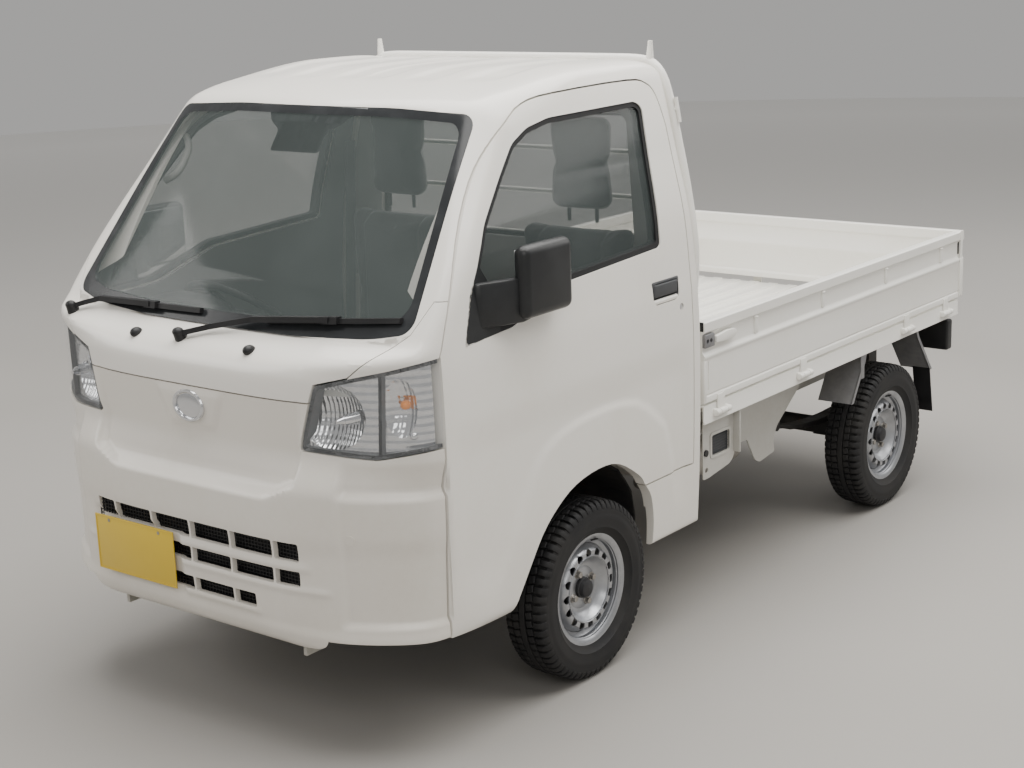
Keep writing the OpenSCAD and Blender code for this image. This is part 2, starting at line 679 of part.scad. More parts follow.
module gate_strap(y, l) {
    difference() {
        union() {
            translate([side_hinge_x, 0, hinge_z]) rod_y(y - l / 2, y + l / 2, hinge_r + 3);
            block([side_hinge_x - 3, y - l / 2, hinge_z], [side_hinge_x + 3, y + l / 2, gate_z0 + 30]);
            block([gate_x, y - l / 2, gate_z0], [side_hinge_x, y + l / 2, gate_z0 + 30]);
        }
        translate([side_hinge_x, 0, hinge_z]) rod_y(y - l, y + l, hinge_r + run_gap);
    }
}
module side_gate() {
    color("whitesmoke") {
        block([gate_x - gate_t, bed_y0, gate_z0], [gate_x, side_y1, gate_top_z]);
        for (y = side_hinges) gate_strap(y, 40);
    }
}
module side_gate_left() { side_gate(); }
module side_gate_right() { mirror([1, 0, 0]) side_gate(); }

module tailgate() {
    color("whitesmoke") {
        block([-gate_x, tail_y - gate_t, gate_z0], [gate_x, tail_y, gate_top_z]);
        for (x = tail_hinges) difference() {
            union() {
                translate([0, tail_hinge_y, hinge_z]) rod_x(x - 20, x + 20, hinge_r + 2.5);
                block([x - 20, tail_hinge_y - 3, hinge_z], [x + 20, tail_hinge_y + 3, gate_z0 + 20]);
            }
            translate([0, tail_hinge_y, hinge_z]) rod_x(x - 40, x + 40, hinge_r + run_gap);
        }
    }
}

module gate_hinges() {
    color("whitesmoke") {
        both() for (y = side_hinges) {
            translate([side_hinge_x, 0, hinge_z]) rod_y(y - 30, y + 30, hinge_r);
            for (s = [-30, 21]) block([sill_x, y + s, hinge_z - 6], [side_hinge_x + hinge_r, y + s + 9, hinge_z + 6]);
        }
        for (x = tail_hinges) {
            translate([0, tail_hinge_y, hinge_z]) rod_x(x - 30, x + 30, hinge_r);
            for (s = [-30, 21]) block([x + s, tail_y - gate_t - gate_gap, hinge_z - 6],
                [x + s + 9, tail_hinge_y + hinge_r, hinge_z + 6]);
        }
    }
}

// plate that follows bends across the vehicle, each bend a place along it and a height
module bent_plate(x0, x1, bends, t) {
    along_x(x0, x1) polygon(concat(bends, [for (i = [len(bends) - 1:-1:0]) bends[i] + [t, 0]]));
}
module mudguards() {
    top = bed_z - 52;
    color("black") both() {
        bent_plate(588, sill_x - 6, [[rear_y - 222, top], [rear_y - 230, top - 28], [rear_y - 318, top - 165]], 4);
        bent_plate(600, sill_x - 6, [[rear_y + 196, top], [rear_y + 212, top - 28], [rear_y + 328, top - 172],
            [rear_y + 356, top - 347]], 4);
    }
}

module side_brackets() {
    top = bed_z - 52;
    color("gainsboro") {
        both() difference() {
            along_x(697, 701) polygon([[bed_y0 + 36, top], [bed_y0 + 228, top], [bed_y0 + 228, 483],
                [bed_y0 + 192, 450], [bed_y0 + 36, 434]]);
            block([690, bed_y0 + 86, 503], [710, bed_y0 + 192, 569]);
        }
        along_x(560, 565) polygon([[180, bed_z - 70], [180, 540], [193, 424], [319, 425], [372, 340],
            [404, 322], [509, 336], [500, 380], [526, 425], [650, 534], [600, 600], [560, 560], [330, 560],
            [316, bed_z - 70]]);
    }
}

module tail_lamps() {
    color("firebrick") both() block([566, tail_y - gate_t - 70, bed_z - 187], [716, tail_y - gate_t - 10, bed_z - 70]);
}

cab_shell();
cab_back();
cab_corners();
cab_floor();
firewall();
engine_cover();
wheel_housings();
nose_panel();
fenders();
front_bumper();
headlamps();
windscreen();
rear_window();
door_left();
door_right();
door_glass_left();
door_glass_right();
mirror_left();
mirror_right();
dashboard();
steering_column();
steering_wheel();
seat_cushions();
seat_backs();
wipers();
number_plates();
frame_rails();
crossmembers();
front_suspension();
knuckle_left();
knuckle_right();
rear_axle();
leaf_springs();
engine_block();
fuel_tank();
silencer();
spare_wheel();
bed_floor();
bed_beams();
bed_sills();
headboard();
guard_frame();
side_gate_left();
side_gate_right();
tailgate();
gate_hinges();
mudguards();
side_brackets();
tail_lamps();
wheel_front_left();
wheel_front_right();
wheel_rear_left();
wheel_rear_right();
tyre_front_left();
tyre_front_right();
tyre_rear_left();
tyre_rear_right();
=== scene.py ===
"""Looks for a small drop-side truck: panels, glass, lamps, wheels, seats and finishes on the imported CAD.

Shapes are drawn in millimetres, and make() turns each one into a finished piece in metres.
"""

import math

import bmesh
import bpy
import numpy as np
from mathutils import Matrix, Vector
from mathutils.bvhtree import BVHTree


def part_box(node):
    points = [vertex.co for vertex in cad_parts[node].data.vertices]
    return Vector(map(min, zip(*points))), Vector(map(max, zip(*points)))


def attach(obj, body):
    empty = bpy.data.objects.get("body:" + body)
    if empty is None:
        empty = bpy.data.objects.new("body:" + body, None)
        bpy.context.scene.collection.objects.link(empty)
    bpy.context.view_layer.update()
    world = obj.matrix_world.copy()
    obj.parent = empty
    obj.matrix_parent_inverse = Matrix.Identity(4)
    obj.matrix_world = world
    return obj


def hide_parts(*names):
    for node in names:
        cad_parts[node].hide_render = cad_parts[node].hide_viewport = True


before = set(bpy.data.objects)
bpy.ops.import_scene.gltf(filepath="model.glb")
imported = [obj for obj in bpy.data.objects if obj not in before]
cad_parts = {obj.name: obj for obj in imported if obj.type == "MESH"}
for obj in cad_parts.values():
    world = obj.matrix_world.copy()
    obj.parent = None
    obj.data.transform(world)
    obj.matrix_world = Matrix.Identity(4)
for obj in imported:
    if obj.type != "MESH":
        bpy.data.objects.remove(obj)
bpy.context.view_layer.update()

# ---------------------------------------------------------------- sizes, in millimetres
MM = 0.001  # metres in a millimetre
HALF_W = 737.5  # half the body's width
FRONT = -1697.5
TAIL = 1697.5
CAB_REAR = FRONT + 1457
ROOF = 1765
DOOR_FRONT = FRONT + 247
DOOR_REAR = CAB_REAR - 48
SILL = 338  # under the door, ahead of the wheel arch
ROCKER = 527  # the door's lower edge behind the arch
DOOR_GAP = 5
FRONT_AXLE = FRONT + 897
REAR_AXLE = FRONT_AXLE + 1900
HUB = 268.5  # height of the wheel centres
WHEEL_X = 650
BED_FRONT = CAB_REAR + 24
GATE_TOP = 955
GATE_X = 731.5  # outer face of the side gates
HINGE_X = HALF_W + 1
HINGE_Z = 657
REAR_HINGE_Y = TAIL - 6
SEAM = 984  # top of the bumper cover
SIDES = ((1, "left"), (-1, "right"))

# depths of the cab's layers below its outer skin
OUTER = 0
LENS_BACK = 4
GLASS_BACK = 9
SHEET = 16
WALL = 34
LINED = 40
TRIMMED = 44


# ---------------------------------------------------------------- shader nodes
class Graph:
    """One material's node tree, with its Principled shader."""

    def __init__(self, name, **settings):
        self.material = bpy.data.materials.new(name)
        self.material.use_nodes = True
        self.tree = self.material.node_tree
        self.shader = self.tree.nodes["Principled BSDF"]
        for socket, value in settings.items():
            self.set(socket.replace("_", " "), value)

    def set(self, socket, value):
        target = self.shader.inputs[socket]
        if isinstance(value, Value):
            self.tree.links.new(value.socket, target)
        elif isinstance(value, tuple) and len(value) == 3:
            target.default_value = (*value, 1)
        else:
            target.default_value = value

    def node(self, kind, settings=None, output=0, **inputs):
        made = self.tree.nodes.new(kind)
        for key, value in (settings or {}).items():
            if key == "stops":
                ramp = made.color_ramp
                while len(ramp.elements) < len(value):
                    ramp.elements.new(0.5)
                for element, (place, colour) in zip(ramp.elements, value):
                    element.position = place
                    element.color = (*colour, 1)
            else:
                setattr(made, key, value)
        for key, value in inputs.items():
            name = key.replace("_", " ").strip()
            numbered = name[0] == "i" and name[1:].isdigit()
            target = made.inputs[int(name[1:]) if numbered else name]
            if isinstance(value, Value):
                self.tree.links.new(value.socket, target)
            elif isinstance(value, tuple) and len(target.default_value) == 4 and len(value) == 3:
                target.default_value = (*value, 1)
            else:
                target.default_value = value
        return Value(self, made.outputs[output])

    def place(self):
        return self.node("ShaderNodeTexCoord", output="Object")

    def axis(self, name):
        return self.node("ShaderNodeSeparateXYZ", output=name, Vector=self.place())

    def noise(self, scale, detail=4, roughness=0.5, stretch=(1, 1, 1)):
        moved = self.node("ShaderNodeMapping", Vector=self.place(), Scale=stretch)
        return self.node("ShaderNodeTexNoise", Vector=moved, Scale=scale, Detail=detail,
            Roughness=roughness)

    def mix(self, factor, low, high):
        return self.node("ShaderNodeMix", {"data_type": "RGBA"}, output=2, i0=factor, i6=low, i7=high)

    def ramp(self, value, low, high):
        """0 below low, 1 above high."""
        return self.node("ShaderNodeMapRange", Value=value, From_Min=low, From_Max=high)

    def bump(self, height, strength=0.3, distance=0.001):
        self.set("Normal", self.node("ShaderNodeBump", Strength=strength, Distance=distance,
            Height=height))


def operators(name):
    """A Python operator and its reflected form, which add one maths node."""
    def plain(self, other):
        return self.math(name, self, other)

    def reflected(self, other):
        return self.math(name, other, self)

    return plain, reflected


class Value:
    """A socket that takes part in Python arithmetic."""

    __add__, __radd__ = operators("ADD")
    __sub__, __rsub__ = operators("SUBTRACT")
    __mul__, __rmul__ = operators("MULTIPLY")
    __pow__, __rpow__ = operators("POWER")

    def __init__(self, graph, socket):
        self.graph = graph
        self.socket = socket

    def math(self, operation, a, b=0.0):
        return self.graph.node("ShaderNodeMath", {"operation": operation}, i0=a, i1=b)

    def wave(self):
        return self.math("SINE", self)


def body_paint(name, colour, dust=0.35):
    """Solid paint with an even film of dust low down and faint orange peel."""
    g = Graph(name, Coat_Weight=0.35, Coat_Roughness=0.08, Specular_IOR_Level=0.45)
    low = 1 - g.ramp(g.axis("Z"), 0.25, 0.75)
    patches = g.noise(2.6, 6, 0.6)
    fine = g.noise(55, 3)
    film = g.ramp(patches + fine * 0.25 + low * 0.30, 0.62, 1.15) * dust
    tint = tuple(c * k for c, k in zip(colour, (0.80, 0.77, 0.70)))
    g.set("Base Color", g.mix(film, colour, tint))
    g.set("Roughness", 0.30 + film * 0.45 + fine * 0.05)
    g.bump(g.noise(420, 2), 0.04, 0.0004)
    return g.material


def moulded(name, colour, rough=0.55, grain=900, strength=0.25, fade=1.35):
    """Moulded plastic with a fine leather grain and lighter rubbed patches."""
    g = Graph(name, Specular_IOR_Level=0.4)
    worn = g.ramp(g.noise(9, 5, 0.6), 0.45, 0.75)
    lighter = tuple(min(1, c * fade + 0.004) for c in colour)
    g.set("Base Color", g.mix(worn, colour, lighter))
    g.set("Roughness", rough + worn * 0.12)
    g.bump(g.noise(grain, 3), strength, 0.0006)
    return g.material


def metal(name, colour, rough=0.35, metallic=1.0, spots=0.15, scale=14):
    g = Graph(name)
    cloud = g.ramp(g.noise(scale, 6, 0.65), 0.4, 0.8)
    g.set("Base Color", g.mix(cloud * spots * 3, colour, tuple(c * 0.62 for c in colour)))
    g.set("Roughness", rough + cloud * spots)
    g.set("Metallic", metallic)
    g.bump(g.noise(scale * 30, 3), 0.08, 0.0005)
    return g.material


def clear(name, colour, alpha, rough=0.07, coat=0.4):
    """Thin glass or lens: mostly open, with an even gloss."""
    g = Graph(name, Coat_Weight=coat, Coat_Roughness=0.07, IOR=1.5)
    film = g.ramp(g.noise(3.2, 4), 0.45, 0.8)
    g.set("Base Color", g.mix(film * 0.5, colour, tuple(min(1, c * 1.25 + 0.01) for c in colour)))
    g.set("Roughness", rough + film * 0.05)
    g.set("Alpha", alpha + film * 0.03)
    g.material.surface_render_method = "BLENDED"
    return g.material


def lens(name, colour, alpha):
    """Clear plastic with a faint cloudy film."""
    g = Graph(name, Coat_Weight=0.5, Coat_Roughness=0.02, IOR=1.45)
    film = g.noise(14, 4)
    g.set("Base Color", g.mix(film, colour, tuple(c * 0.85 for c in colour)))
    g.set("Roughness", 0.05 + film * 0.05)
    g.set("Alpha", alpha + film * 0.04)
    return g.material


def fabric(name, colour, scale=900):
    """Woven seat cloth: two crossed threads, with a darker fleck."""
    g = Graph(name, Sheen_Weight=0.35, Sheen_Roughness=0.5)
    x, y, z = g.axis("X"), g.axis("Y"), g.axis("Z")
    weave = (x * scale).wave() * ((y + z) * scale).wave()
    fleck = g.ramp(g.noise(320, 3, 0.7), 0.5, 0.72)
    g.set("Base Color", g.mix(fleck, colour, tuple(c * 1.9 for c in colour)))
    g.set("Roughness", 0.88 + fleck * 0.08)
    g.bump(weave * 0.5 + g.noise(60, 3) * 0.8, 0.35, 0.0008)
    return g.material


def tyre_rubber():
    g = Graph("tyre_rubber", Specular_IOR_Level=0.3)
    dust = g.ramp(g.noise(7, 6, 0.65), 0.42, 0.75)
    g.set("Base Color", g.mix(dust * 0.6, (0.016, 0.016, 0.017), (0.052, 0.049, 0.045)))
    g.set("Roughness", 0.62 + dust * 0.25)
    g.bump(g.noise(260, 4), 0.2, 0.0006)
    return g.material


def chassis_paint():
    """Black underbody paint with road dirt and a little rust."""
    g = Graph("chassis_paint", Specular_IOR_Level=0.35)
    dirt = g.ramp(g.noise(8, 6, 0.7), 0.4, 0.7)
    rust = g.ramp(g.noise(24, 5, 0.7), 0.60, 0.72)
    base = g.mix(dirt, (0.018, 0.018, 0.019), (0.060, 0.056, 0.050))
    g.set("Base Color", g.mix(rust * 0.7, base, (0.12, 0.055, 0.028)))
    g.set("Roughness", 0.5 + dirt * 0.35)
    g.bump(g.noise(150, 4), 0.3, 0.0008)
    return g.material


def reflector():
    """Bright stepped reflector: fine upright flutes."""
    g = Graph("reflector_chrome", Metallic=1.0)
    flute = (g.axis("X") * 520).wave() * 0.5 + (g.axis("Z") * 300).wave() * 0.5
    g.set("Base Color", g.mix(g.noise(40, 3), (0.82, 0.83, 0.85), (0.60, 0.61, 0.63)))
    g.set("Roughness", 0.10 + g.noise(30, 2) * 0.10)
    g.bump(flute, 0.5, 0.002)
    return g.material


PAINT = body_paint("body_paint", (0.84, 0.812, 0.757))
BUMPER = body_paint("bumper_paint", (0.78, 0.742, 0.68), 0.45)
BED_PAINT = body_paint("bed_paint", (0.85, 0.835, 0.785), 0.30)
FRAME_PAINT = body_paint("frame_paint", (0.50, 0.49, 0.455), 0.90)
BLACK = moulded("black_plastic", (0.012, 0.012, 0.013), 0.42)
MIRROR_BLACK = moulded("mirror_plastic", (0.016, 0.017, 0.018), 0.34)
GREY = moulded("grey_plastic", (0.060, 0.062, 0.066), 0.60, 700, 0.4)
TRIM = moulded("trim_plastic", (0.115, 0.118, 0.120), 0.62, 650, 0.35, 1.15)
LINING = moulded("roof_lining", (0.46, 0.46, 0.44), 0.85, 500, 0.04, 1.1)
SEAL = moulded("rubber_seal", (0.010, 0.010, 0.011), 0.60, 500, 0.2)
FRIT = moulded("glass_border", (0.022, 0.024, 0.026), 0.16, 1500, 0.03)
GLASS = clear("windscreen_glass", (0.125, 0.150, 0.146), 0.24)
SIDE_GLASS = clear("side_glass", (0.075, 0.094, 0.092), 0.30)
LENS = lens("lamp_lens", (0.80, 0.83, 0.85), 0.05)
LAMP_RIM = moulded("lamp_rim", (0.075, 0.078, 0.082), 0.30, 700, 0.1)
RED_LENS = lens("red_lens", (0.42, 0.012, 0.012), 0.92)
AMBER = lens("amber_lens", (0.95, 0.30, 0.03), 0.90)
CLEAR_LENS = lens("reversing_lens", (0.75, 0.75, 0.74), 0.9)
REFLECTOR = reflector()
CHROME = metal("bright_trim", (0.72, 0.73, 0.75), 0.14, 1.0, 0.08)
MIRROR = metal("mirror_glass", (0.80, 0.82, 0.83), 0.03, 1.0, 0.02)
WHEEL = metal("wheel_silver", (0.42, 0.43, 0.45), 0.30, 0.85, 0.22)
NUT = metal("wheel_nut", (0.42, 0.40, 0.37), 0.40, 1.0, 0.25, 60)
DARK_METAL = metal("dark_metal", (0.055, 0.055, 0.058), 0.45, 0.7, 0.2)
RAW = metal("cast_metal", (0.32, 0.32, 0.33), 0.5, 0.9, 0.2)
EXHAUST = metal("exhaust_metal", (0.38, 0.36, 0.33), 0.42, 0.9, 0.3, 22)
CHASSIS = chassis_paint()
TYRE = tyre_rubber()
CLOTH = fabric("seat_cloth", (0.036, 0.037, 0.040))
CLOTH_SIDE = fabric("seat_side_cloth", (0.022, 0.022, 0.024), 600)
PLATE = body_paint("plate_paint", (0.72, 0.50, 0.035), 0.3)


# ---------------------------------------------------------------- modelling helpers
def block(low, high, bevel=0.0, segments=3):
    """A box between two corners, its edges rounded."""
    bm = bmesh.new()
    bmesh.ops.create_cube(bm, size=1)
    stretched(bm, [b - a for a, b in zip(low, high)])
    shifted(bm, [(a + b) / 2 for a, b in zip(low, high)])
    if bevel:
        bmesh.ops.bevel(bm, geom=bm.edges, offset=bevel, segments=segments, profile=0.5, affect="EDGES",
            material=-1)
    return bm


AXES = {"x": lambda a, b, c: (c, a, b), "y": lambda a, b, c: (a, c, b), "z": lambda a, b, c: (a, b, c)}


def prism(outline, axis, low, high, corner=0.0, bevel=0.0):
    """An outline drawn across an axis, its corners rounded, pulled from low to high."""
    bm = bmesh.new()
    face = bm.faces.new([bm.verts.new(AXES[axis](a, b, low)) for a, b in outline])
    if corner:
        bmesh.ops.bevel(bm, geom=face.verts[:], offset=corner, segments=6, profile=0.5, affect="VERTICES",
            material=-1)
    rim = bmesh.ops.extrude_face_region(bm, geom=bm.faces[:])["geom"]
    pulled = [v for v in rim if isinstance(v, bmesh.types.BMVert)]
    bmesh.ops.translate(bm, vec=AXES[axis](0, 0, high - low), verts=pulled)
    bmesh.ops.recalc_face_normals(bm, faces=bm.faces)
    if bevel:
        sharp = [e for e in bm.edges if e.calc_face_angle(0) > 0.9]
        bmesh.ops.bevel(bm, geom=sharp, offset=bevel, segments=2, profile=0.5, affect="EDGES",
            material=-1)
    return bm


def rod(start, end, radius, tip=None, sides=24):
    """A round bar between two points."""
    start, end = Vector(start), Vector(end)
    turn = (end - start).to_track_quat("Z", "Y").to_matrix().to_4x4()
    bm = bmesh.new()
    bmesh.ops.create_cone(bm, cap_ends=True, segments=sides, radius1=radius,
        radius2=radius if tip is None else tip, depth=(end - start).length,
        matrix=Matrix.Translation((start + end) / 2) @ turn)
    return bm


def ball(centre, radius, squash=(1, 1, 1)):
    bm = bmesh.new()
    bmesh.ops.create_uvsphere(bm, u_segments=24, v_segments=14, radius=radius)
    return shifted(stretched(bm, squash), centre)


def pipe(points, radius, sides=4, ends=True):
    """A bent tube through the points."""
    curve = bpy.data.curves.new("pipe", "CURVE")
    curve.dimensions = "3D"
    curve.bevel_depth = radius
    curve.bevel_resolution = sides
    curve.use_fill_caps = ends
    curve.resolution_u = 6
    spline = curve.splines.new("NURBS")
    spline.points.add(len(points) - 1)
    for knot, point in zip(spline.points, points):
        knot.co = (*point, 1)
    spline.use_endpoint_u = True
    spline.order_u = 3
    holder = bpy.data.objects.new("pipe", curve)
    bm = bmesh.new()
    bm.from_mesh(holder.to_mesh())
    holder.to_mesh_clear()
    bpy.data.objects.remove(holder)
    bpy.data.curves.remove(curve)
    bmesh.ops.remove_doubles(bm, verts=bm.verts, dist=0.01)
    bmesh.ops.recalc_face_normals(bm, faces=bm.faces)
    return bm


def lathe(profile, centre, steps=96, turn=math.tau):
    """A closed profile of (x, radius) stations spun about the X axis through centre."""
    bm = bmesh.new()
    verts = [bm.verts.new((x, 0, r)) for x, r in profile]
    edges = [bm.edges.new(pair) for pair in zip(verts, verts[1:] + verts[:1])]
    bmesh.ops.spin(bm, geom=verts + edges, cent=(0, 0, 0), axis=(1, 0, 0), angle=turn, steps=steps,
        use_merge=turn == math.tau)
    bmesh.ops.remove_doubles(bm, verts=bm.verts, dist=0.01)
    bmesh.ops.recalc_face_normals(bm, faces=bm.faces)
    return shifted(bm, centre)


def join(*parts):
    """One bmesh from several, which are used up."""
    whole = bmesh.new()
    for part in parts:
        mesh = bpy.data.meshes.new("part")
        part.to_mesh(mesh)
        part.free()
        whole.from_mesh(mesh)
        bpy.data.meshes.remove(mesh)
    return whole


def shifted(bm, offset):
    bmesh.ops.translate(bm, vec=offset, verts=bm.verts)
    return bm


def stretched(bm, factors):
    bmesh.ops.scale(bm, vec=factors, verts=bm.verts)
    return bm


def turned(bm, angle, axis, centre=(0, 0, 0)):
    bmesh.ops.rotate(bm, cent=centre, matrix=Matrix.Rotation(math.radians(angle), 3, axis),
        verts=bm.verts)
    return bm


def mirrored(bm):
    """The same shape on the other side of the vehicle."""
    other = stretched(bm.copy(), (-1, 1, 1))
    bmesh.ops.reverse_faces(other, faces=other.faces)
    return other


def both(bm):
    return join(mirrored(bm), bm)


def on_side(bm, side):
    """bm itself on the left (1), its mirror image on the right (-1)."""
    return bm if side > 0 else mirrored(bm)


def combine(bm, other, operation="DIFFERENCE"):
    """A boolean of two closed shapes, which are used up."""
    pair = []
    for part in (bm, other):
        mesh = bpy.data.meshes.new("operand")
        part.to_mesh(mesh)
        part.free()
        holder = bpy.data.objects.new("operand", mesh)
        bpy.context.scene.collection.objects.link(holder)
        pair.append(holder)
    cut = pair[0].modifiers.new("cut", "BOOLEAN")
    cut.operation = operation
    cut.solver = "MANIFOLD"
    cut.object = pair[1]
    result = bmesh.new()
    result.from_object(pair[0], bpy.context.evaluated_depsgraph_get())
    for holder in pair:
        mesh = holder.data
        bpy.data.objects.remove(holder)
        bpy.data.meshes.remove(mesh)
    return result


def cut(bm, *tools):
    for tool in tools:
        bm = combine(bm, tool, "DIFFERENCE")
    return bm


def keep(bm, *tools):
    for tool in tools:
        bm = combine(bm, tool, "INTERSECT")
    return bm


def make(name, bm, material, body="chassis", smooth=38, bevel=0.0, levels=0, replaces=(), slot=None):
    """Turns a shape in millimetres into a finished piece that rides on a body."""
    stretched(bm, (MM, MM, MM))
    mesh = bpy.data.meshes.new(name)
    bm.to_mesh(mesh)
    bm.free()
    piece = bpy.data.objects.new(name, mesh)
    bpy.context.scene.collection.objects.link(piece)
    mesh.materials.append(material)
    mesh.shade_smooth()
    mesh.set_sharp_from_angle(angle=math.radians(smooth))
    if bevel:
        edge = piece.modifiers.new("edges", "BEVEL")
        edge.width = bevel * MM
        edge.segments = 2
        edge.limit_method = "ANGLE"
        edge.angle_limit = math.radians(40)
    if levels:
        rounder = piece.modifiers.new("rounder", "SUBSURF")
        rounder.levels = levels
        rounder.render_levels = levels
    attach(piece, body)
    if replaces:
        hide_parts(*replaces)
    return piece


def make_pairs(parts, body):
    """Makes each (name, shape, material, settings) on the left and, mirrored, on the right."""
    for side, hand in SIDES:
        for name, shape, material, settings in parts:
            settings = dict(settings)
            if "replaces" in settings:
                settings["replaces"] = (settings["replaces"] + hand,)
            make(name + "_" + hand, on_side(shape.copy(), side), material, hand + body, **settings)


# ---------------------------------------------------------------- the cab's outer form
def ramp(value, low, high):
    """0 below low, 1 above high, smooth between."""
    t = np.clip((value - low) / (high - low), 0, 1)
    return t * t * (3 - 2 * t)


def smooth_run(points, steps=4):
    """A soft line through the points."""
    ends = [points[0]] + list(points) + [points[-1]]
    line = []
    for a, b, c, d in zip(ends, ends[1:], ends[2:], ends[3:]):
        for k in range(steps):
            t = k / steps
            line.append(tuple(0.5 * (2 * q + (r - p) * t + (2 * p - 5 * q + 4 * r - s) * t * t
                + (3 * q - p - 3 * r + s) * t**3) for p, q, r, s in zip(a, b, c, d)))
    return line + [tuple(points[-1])]


def inside(u, v, outline):
    """How far each point (u, v) lies inside a closed outline; negative outside."""
    best = np.full(u.shape, 1e9)
    within = np.zeros(u.shape, bool)
    for (a0, b0), (a1, b1) in zip(outline, outline[1:] + outline[:1]):
        da, db = a1 - a0, b1 - b0
        t = np.clip(((u - a0) * da + (v - b0) * db) / (da * da + db * db + 1e-9), 0, 1)
        best = np.minimum(best, np.hypot(u - a0 - t * da, v - b0 - t * db))
        level = db if abs(db) > 1e-9 else 1e-9
        within ^= ((b0 > v) != (b1 > v)) & (u < da * (v - b0) / level + a0)
    return np.where(within, best, -best)


def soft_min(a, b, width):
    h = np.clip(0.5 + 0.5 * (b - a) / width, 0, 1)
    return b * (1 - h) + a * h - width * h * (1 - h)


# side of the cab (y, z): rear wall, roof, windscreen, nose, underside
SIDE = ([(CAB_REAR, 320), (CAB_REAR, ROOF - 90)] + smooth_run([(CAB_REAR - 3, ROOF - 55),
    (CAB_REAR - 30, ROOF - 22), (CAB_REAR - 130, ROOF - 4), (CAB_REAR - 420, ROOF),
    (CAB_REAR - 600, ROOF - 10), (CAB_REAR - 740, ROOF - 34), (FRONT + 622, ROOF - 62),
    (FRONT + 582, ROOF - 86)]) + [(FRONT + 148, 1128)] + smooth_run([(FRONT + 120, 1112),
    (FRONT + 84, 1092), (FRONT + 54, 1064), (FRONT + 40, 1030), (FRONT + 32, 940), (FRONT + 24, 850),
    (FRONT + 6, 770), (FRONT, 700), (FRONT, 500), (FRONT + 6, 400), (FRONT + 22, 335),
    (FRONT + 44, 312)]) + [(FRONT + 150, 300), (DOOR_FRONT - 10, 300), (DOOR_FRONT + 6, 322)])
# half of the cab from the front (x, z)
HALF_RUN = smooth_run([(HALF_W - 16, 300), (HALF_W - 4, 560), (HALF_W, 860), (HALF_W - 4, 1030),
    (HALF_W - 12, 1120), (HALF_W - 34, 1300), (HALF_W - 78, 1484), (HALF_W - 121, 1665),
    (HALF_W - 141, 1722), (HALF_W - 180, 1756), (HALF_W - 260, 1778), (HALF_W - 420, 1815)])
HALF = [(-HALF_W - 99, 200), (HALF_W - 24, 200)] + HALF_RUN + [(-HALF_W - 99, 1860)]
# half of the cab from above (x, and y behind FRONT)
PLAN_RUN = smooth_run([(0, -30), (200, -24), (330, -5), (400, 13), (480, 38), (540, 61), (600, 93),
    (660, 136), (700, 176), (724, 208), (747, 250), (790, 400)])
PLAN = [(x, FRONT + d) for x, d in PLAN_RUN] + [(790, CAB_REAR + 90), (-400, CAB_REAR + 90),
    (-400, FRONT - 30)]

# upper edge of the raised panel round the wheel arch (y, z)
FLARE = smooth_run([(-1275, 380), (-1246, 448), (-1163, 613), (-1043, 759), (-845, 808), (-594, 793),
    (-441, 684)], 3)
FLARE += [(-397, 555), (-385, 380)]


def cab_inside(p):
    """Distance of each point inside the cab's outer skin."""
    x, y, z = np.abs(p[:, 0]), p[:, 1], p[:, 2]
    # the windscreen bows forwards in the middle, and the nose stands back between the lamps
    crown = 44 * (x / 633) ** 2 * ramp(z, 1060, 1150) * (1 - ramp(y, -1000, -700))
    setback = 45 * (1 - (np.minimum(x, 740) / 740) ** 5) * ramp(z, 742, 850) * (1 - ramp(z, 1060, 1150))
    side = inside(y - crown, z, SIDE)
    half = inside(x, z, HALF)
    plan = inside(x, y - setback, PLAN)
    edge = 16 + (26 + 56 * ramp(z, 1200, 1700)) * (1 - ramp(y, -900, -560))
    return soft_min(soft_min(side, plan, 36), half, edge)


def line(value, *stations):
    return np.interp(value, [s[0] for s in stations], [s[1] for s in stations])


def pressings(p):
    """Depth of the shapes pressed or moulded into the skin, in millimetres."""
    x, y, z = np.abs(p[:, 0]), p[:, 1], p[:, 2]
    front = 1 - ramp(y, DOOR_FRONT - 12, DOOR_FRONT + 4)
    width = line(z, (722, 285), (772, 386), (986, 404))
    badge = ramp(96 - np.abs(x) + 0.4 * (z - 900), -6, 6) * ramp(z, 866, 880) * (1 - ramp(z, 960, 985))
    recess = ramp(width - x, -8, 16) * line(z, (722, 0), (754, 28), (775, 31), (986, 2)) - 5 * badge
    corner = ramp(x, 506, 522) * line(z, (388, 0), (402, 13), (738, 9), (760, 25), (796, 15), (834, 0))
    ledge = 0
    for height, reach in ((484, 495), (546, 440), (398, 262)):
        ledge = ledge - 5 * np.exp(-(((z - height) / 8) ** 2)) * ramp(reach - x, 0, 26)
    plate = ramp(-p[:, 0], 36, 62) * (1 - ramp(-p[:, 0], 408, 434))
    pocket = 9 * ramp(z, 380, 396) * (1 - ramp(z, 569, 585))
    band = 5.2 * ramp(z, 355, 385) * (1 - ramp(z, 575, 640))
    depth = front * (recess + corner + ledge * (1 - plate) + pocket * plate + band)
    flare = inside(y, z, FLARE)
    side = ramp(y, DOOR_FRONT + 6, DOOR_FRONT + 70) * ramp(x, 640,
        690) * (1 - ramp(z, 815, 930)) * ramp(z, 380, 520)
    depth += side * 7 * (1 - ramp(flare, -10, 12)) * (1 - ramp(y, -340, -290))
    ribs = 0.5 + 0.5 * np.sin(x / 92 * math.pi)
    depth += 6 * ramp(ribs, 0.2, 0.8) * ramp(z, 1735, 1752) * ramp(y, -1000,
        -860) * (1 - ramp(y, -330, -300)) * (1 - ramp(x, 500, 540))
    return depth


